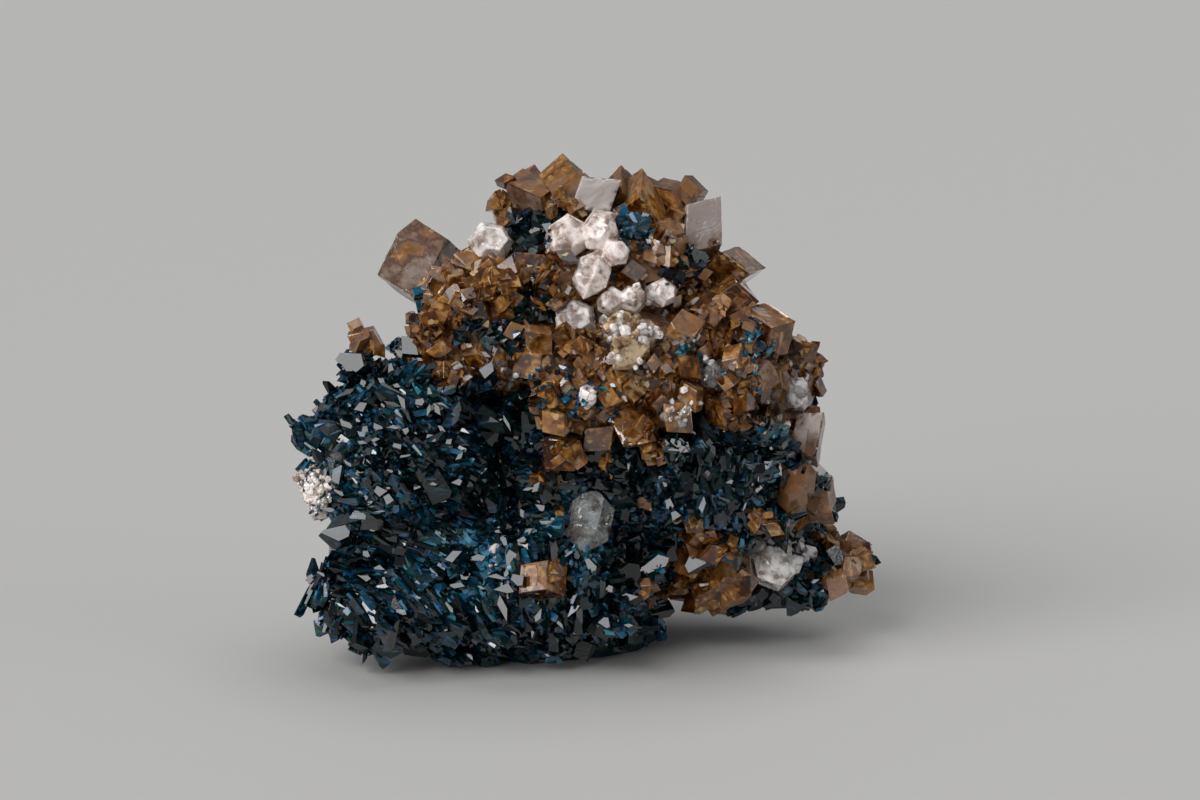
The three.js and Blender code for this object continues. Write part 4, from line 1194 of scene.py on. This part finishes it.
def dressCrown():
    random = np.random.default_rng(5)
    rhombs, plain, fine = dressedRhombs("siderite_crown", random)
    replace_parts(shrunkCore("siderite_crown", crownCore), "siderite_crown")
    crystalPiece("siderite_crown_rhombs", plain, "siderite")
    crystalPiece("siderite_crown_large_rhombs", fine, "siderite", smooth=True)
    return rhombs


crownRhombs = dressCrown()


def dressSeatedRhombs():
    random = np.random.default_rng(8)
    for name in seated:
        if slotOf[name] != "siderite":
            continue
        rhombs, plain, fine = dressedRhombs(name, random)
        print(name, [round(rhomb["size"] / mm, 1) for rhomb in rhombs], len(plain))
        if fine:
            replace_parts(crystalPiece(name + "_crystal", fine, "siderite", smooth=True), name)
        if plain:
            steps = crystalPiece(name + "_crystals", plain, "siderite")
            if not fine:
                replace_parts(steps, name)


dressSeatedRhombs()


# Small siderite rhombs between the large ones
sideriteCrystals = [
    {"name": "siderite_crystals_medium", "spacing": 1.9 * mm, "half": (0.6, 1.25), "forms": blocks},
    {"name": "siderite_crystals_small", "spacing": 1.0 * mm, "half": (0.28, 0.6), "forms": chips},
]


# Axes of a rhomb whose edges lean as siderite's do, turned by chance
def rhombAxes(halves, random):
    lean = math.radians(64.6)
    slant, rise = math.sin(lean), math.cos(lean)
    rounds = [k * 2 * math.pi / 3 for k in range(3)]
    edges = np.array([[slant * math.cos(r), slant * math.sin(r), rise] for r in rounds]).T
    turn, _ = np.linalg.qr(random.normal(size=(3, 3)))
    return turn @ edges @ np.diag(halves)


# Large rhombs that no small ones cover: the place in the picture and the radius
bareRhombs = [((-7.1, 23), 3.4), ((-3.4, 24.7), 2.6), ((10.9, 18.7), 3.2), ((-0.4, 21.2), 2.4),
              ((-19.4, 15), 4.8), ((2, 23.3), 2), ((14.4, 15.2), 2.6), ((20.5, 5.1), 1.8),
              ((22.2, -4.6), 2.2)]


def dressSmallSiderite(setup):
    random = np.random.default_rng(31)
    triangles = trianglesOf(["siderite_crown"])
    inside = [np.linalg.inv(rhomb["axes"]) for rhomb in crownRhombs]
    middles = [rhomb["middle"] for rhomb in crownRhombs]
    for size in setup:
        crystals = []
        points, normals = spreadPoints(triangles, size["spacing"], random)
        for point, normal in zip(points, normals):
            half = random.uniform(*size["half"]) * mm
            tint, tone = random.random(), toneAt(point, random) + random.uniform(-0.15, 0.15, 6)
            onRhomb = min(np.abs(turned @ (point - middle)).max() for turned, middle in zip(inside, middles))
            if onRhomb < 1.06 or not hasRoom(point, normal, half):
                continue
            place = inPicture(point[None])[0]
            if point[1] < 5 * mm and any(math.dist(place, at) < radius for at, radius in bareRhombs):
                continue
            half = min(half, 0.15 * mm + seatedDistance(point) * 0.7, 0.3 * mm + (onRhomb - 1) * 1.6 * mm)
            halves = half * random.uniform(0.75, 1.1, 3)
            form = size["forms"][random.integers(len(size["forms"]))]
            crystals.append((form, rhombAxes(halves, random), point + normal * half * 0.2, tint, tone))
        crystalPiece(size["name"], crystals, "siderite")


dressSmallSiderite(sideriteCrystals)


def dressSideriteSpots():
    random = np.random.default_rng(45)
    crystals = []
    for point, normal, half, tone in gathered(sideriteSpots, random):
        if quartzTree.find_nearest(Vector(point))[3] < half * 0.6:
            continue
        halves = half * random.uniform(0.8, 1.1, 3)
        form, axes = blocks[random.integers(len(blocks))], rhombAxes(halves, random)
        crystals.append((form, axes, point + normal * half * 0.45, random.random(), tone))
    crystalPiece("siderite_gathered", crystals, "siderite")


dressSideriteSpots()


def dressQuartzSpots():
    random = np.random.default_rng(46)
    crystals = []
    for point, normal, half, tint in gathered(quartzSpots, random):
        width = half * random.uniform(0.6, 0.9)
        axes = axesAlong(normal + random.normal(size=3) * 0.5, (width, width), half, random)
        crystals.append((prisms[random.integers(len(prisms))], axes, point + normal * half * 0.6, tint, 0))
    crystalPiece("quartz_gathered", crystals, "quartz")


dressQuartzSpots()


# How each quartz crystal looks, from 0 for milky and rosy over 0.5 for grey and clear to 1 for yellow
quartzTints = {"quartz_cluster_upper": 0.05, "quartz_left": 0.2, "quartz_middle": 0.25, "quartz_pair": 0.15,
               "quartz_pink": 0.1, "quartz_cluster_yellow": 0.78, "quartz_low": 0.5, "quartz_grey": 0.45,
               "quartz_left_low": 0.5, "quartz_low_right": 0.3, "quartz_crust_left": 0, "quartz_small": 0,
               "quartz_right_edge": 0.3}

# Quartz crystals with rounded edges and uneven faces. Those that grew together are remeshed first.
grownQuartz = ["quartz_cluster_upper", "quartz_cluster_yellow", "quartz_pair", "quartz_crust_left"]
quartzShape = {"voxel": 0.12 * mm, "lumps": 1.6 * mm, "lumpHeight": 0.035 * mm, "edge": 0.1 * mm}


def dressQuartz(setup):
    lumps = bpy.data.textures.new("quartz_lumps", "CLOUDS")
    lumps.noise_scale = setup["lumps"]
    for name in seated:
        if slotOf[name] != "quartz":
            continue
        piece = bpy.data.objects.new(name + "_crystal", nodes[name].data.copy())
        bpy.context.scene.collection.objects.link(piece)
        grownTogether = name in grownQuartz
        if grownTogether:
            remesh = piece.modifiers.new("remesh", "REMESH")
            remesh.mode = "VOXEL"
            remesh.voxel_size = setup["voxel"]
            displace = piece.modifiers.new("displace", "DISPLACE")
            displace.texture = lumps
            displace.strength = setup["lumpHeight"]
            displace.texture_coords = "LOCAL"
        else:
            weld = piece.modifiers.new("weld", "WELD")
            weld.merge_threshold = 0.001 * mm
            bevel = piece.modifiers.new("bevel", "BEVEL")
            bevel.width = setup["edge"]
            bevel.segments = 2
            bevel.limit_method = "ANGLE"
            bevel.angle_limit = math.radians(15)
        bakeModifiers(piece)
        mesh = piece.data
        mesh.polygons.foreach_set("use_smooth", [grownTogether] * len(mesh.polygons))
        mesh.materials.clear()
        mesh.materials.append(materials["quartz"])
        layer = mesh.attributes.get("tint") or mesh.attributes.new("tint", "FLOAT", "FACE")
        layer.data.foreach_set("value", [quartzTints[name]] * len(mesh.polygons))
        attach(piece, "root")
        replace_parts(piece, name)
        print(piece.name, len(mesh.polygons), "faces")


dressQuartz(quartzShape)


def setStudio(setup):
    mesh = bmesh.new()
    bmesh.ops.create_grid(mesh, x_segments=1, y_segments=1, size=3)
    data = bpy.data.meshes.new("floor")
    mesh.to_mesh(data)
    mesh.free()
    floor = bpy.data.objects.new("floor", data)
    bpy.context.scene.collection.objects.link(floor)
    material, tree, output = newMaterial("matt_studio_floor")
    shader = addNode(tree, "BsdfPrincipled", {"Base Color": toLinear(setup["floor"]), "Roughness": 0.6})
    tree.links.new(shader.outputs[0], output.inputs[0])
    data.materials.append(material)
    world = bpy.data.worlds.new("studio")
    bpy.context.scene.world = world
    world.use_nodes = True
    background = world.node_tree.nodes["Background"]
    background.inputs[0].default_value = toLinear(setup["world"][0])
    background.inputs[1].default_value = setup["world"][1]
    for light in setup["suns"]:
        lamp = bpy.data.lights.new(light["name"], "SUN")
        lamp.energy = light["strength"]
        lamp.angle = math.radians(light["angle"])
        stand = bpy.data.objects.new(light["name"], lamp)
        stand.rotation_euler = Vector(light["from"]).to_track_quat("Z", "Y").to_euler()
        bpy.context.scene.collection.objects.link(stand)


setStudio(studio)
bpy.context.scene.view_settings.view_transform = "Standard"
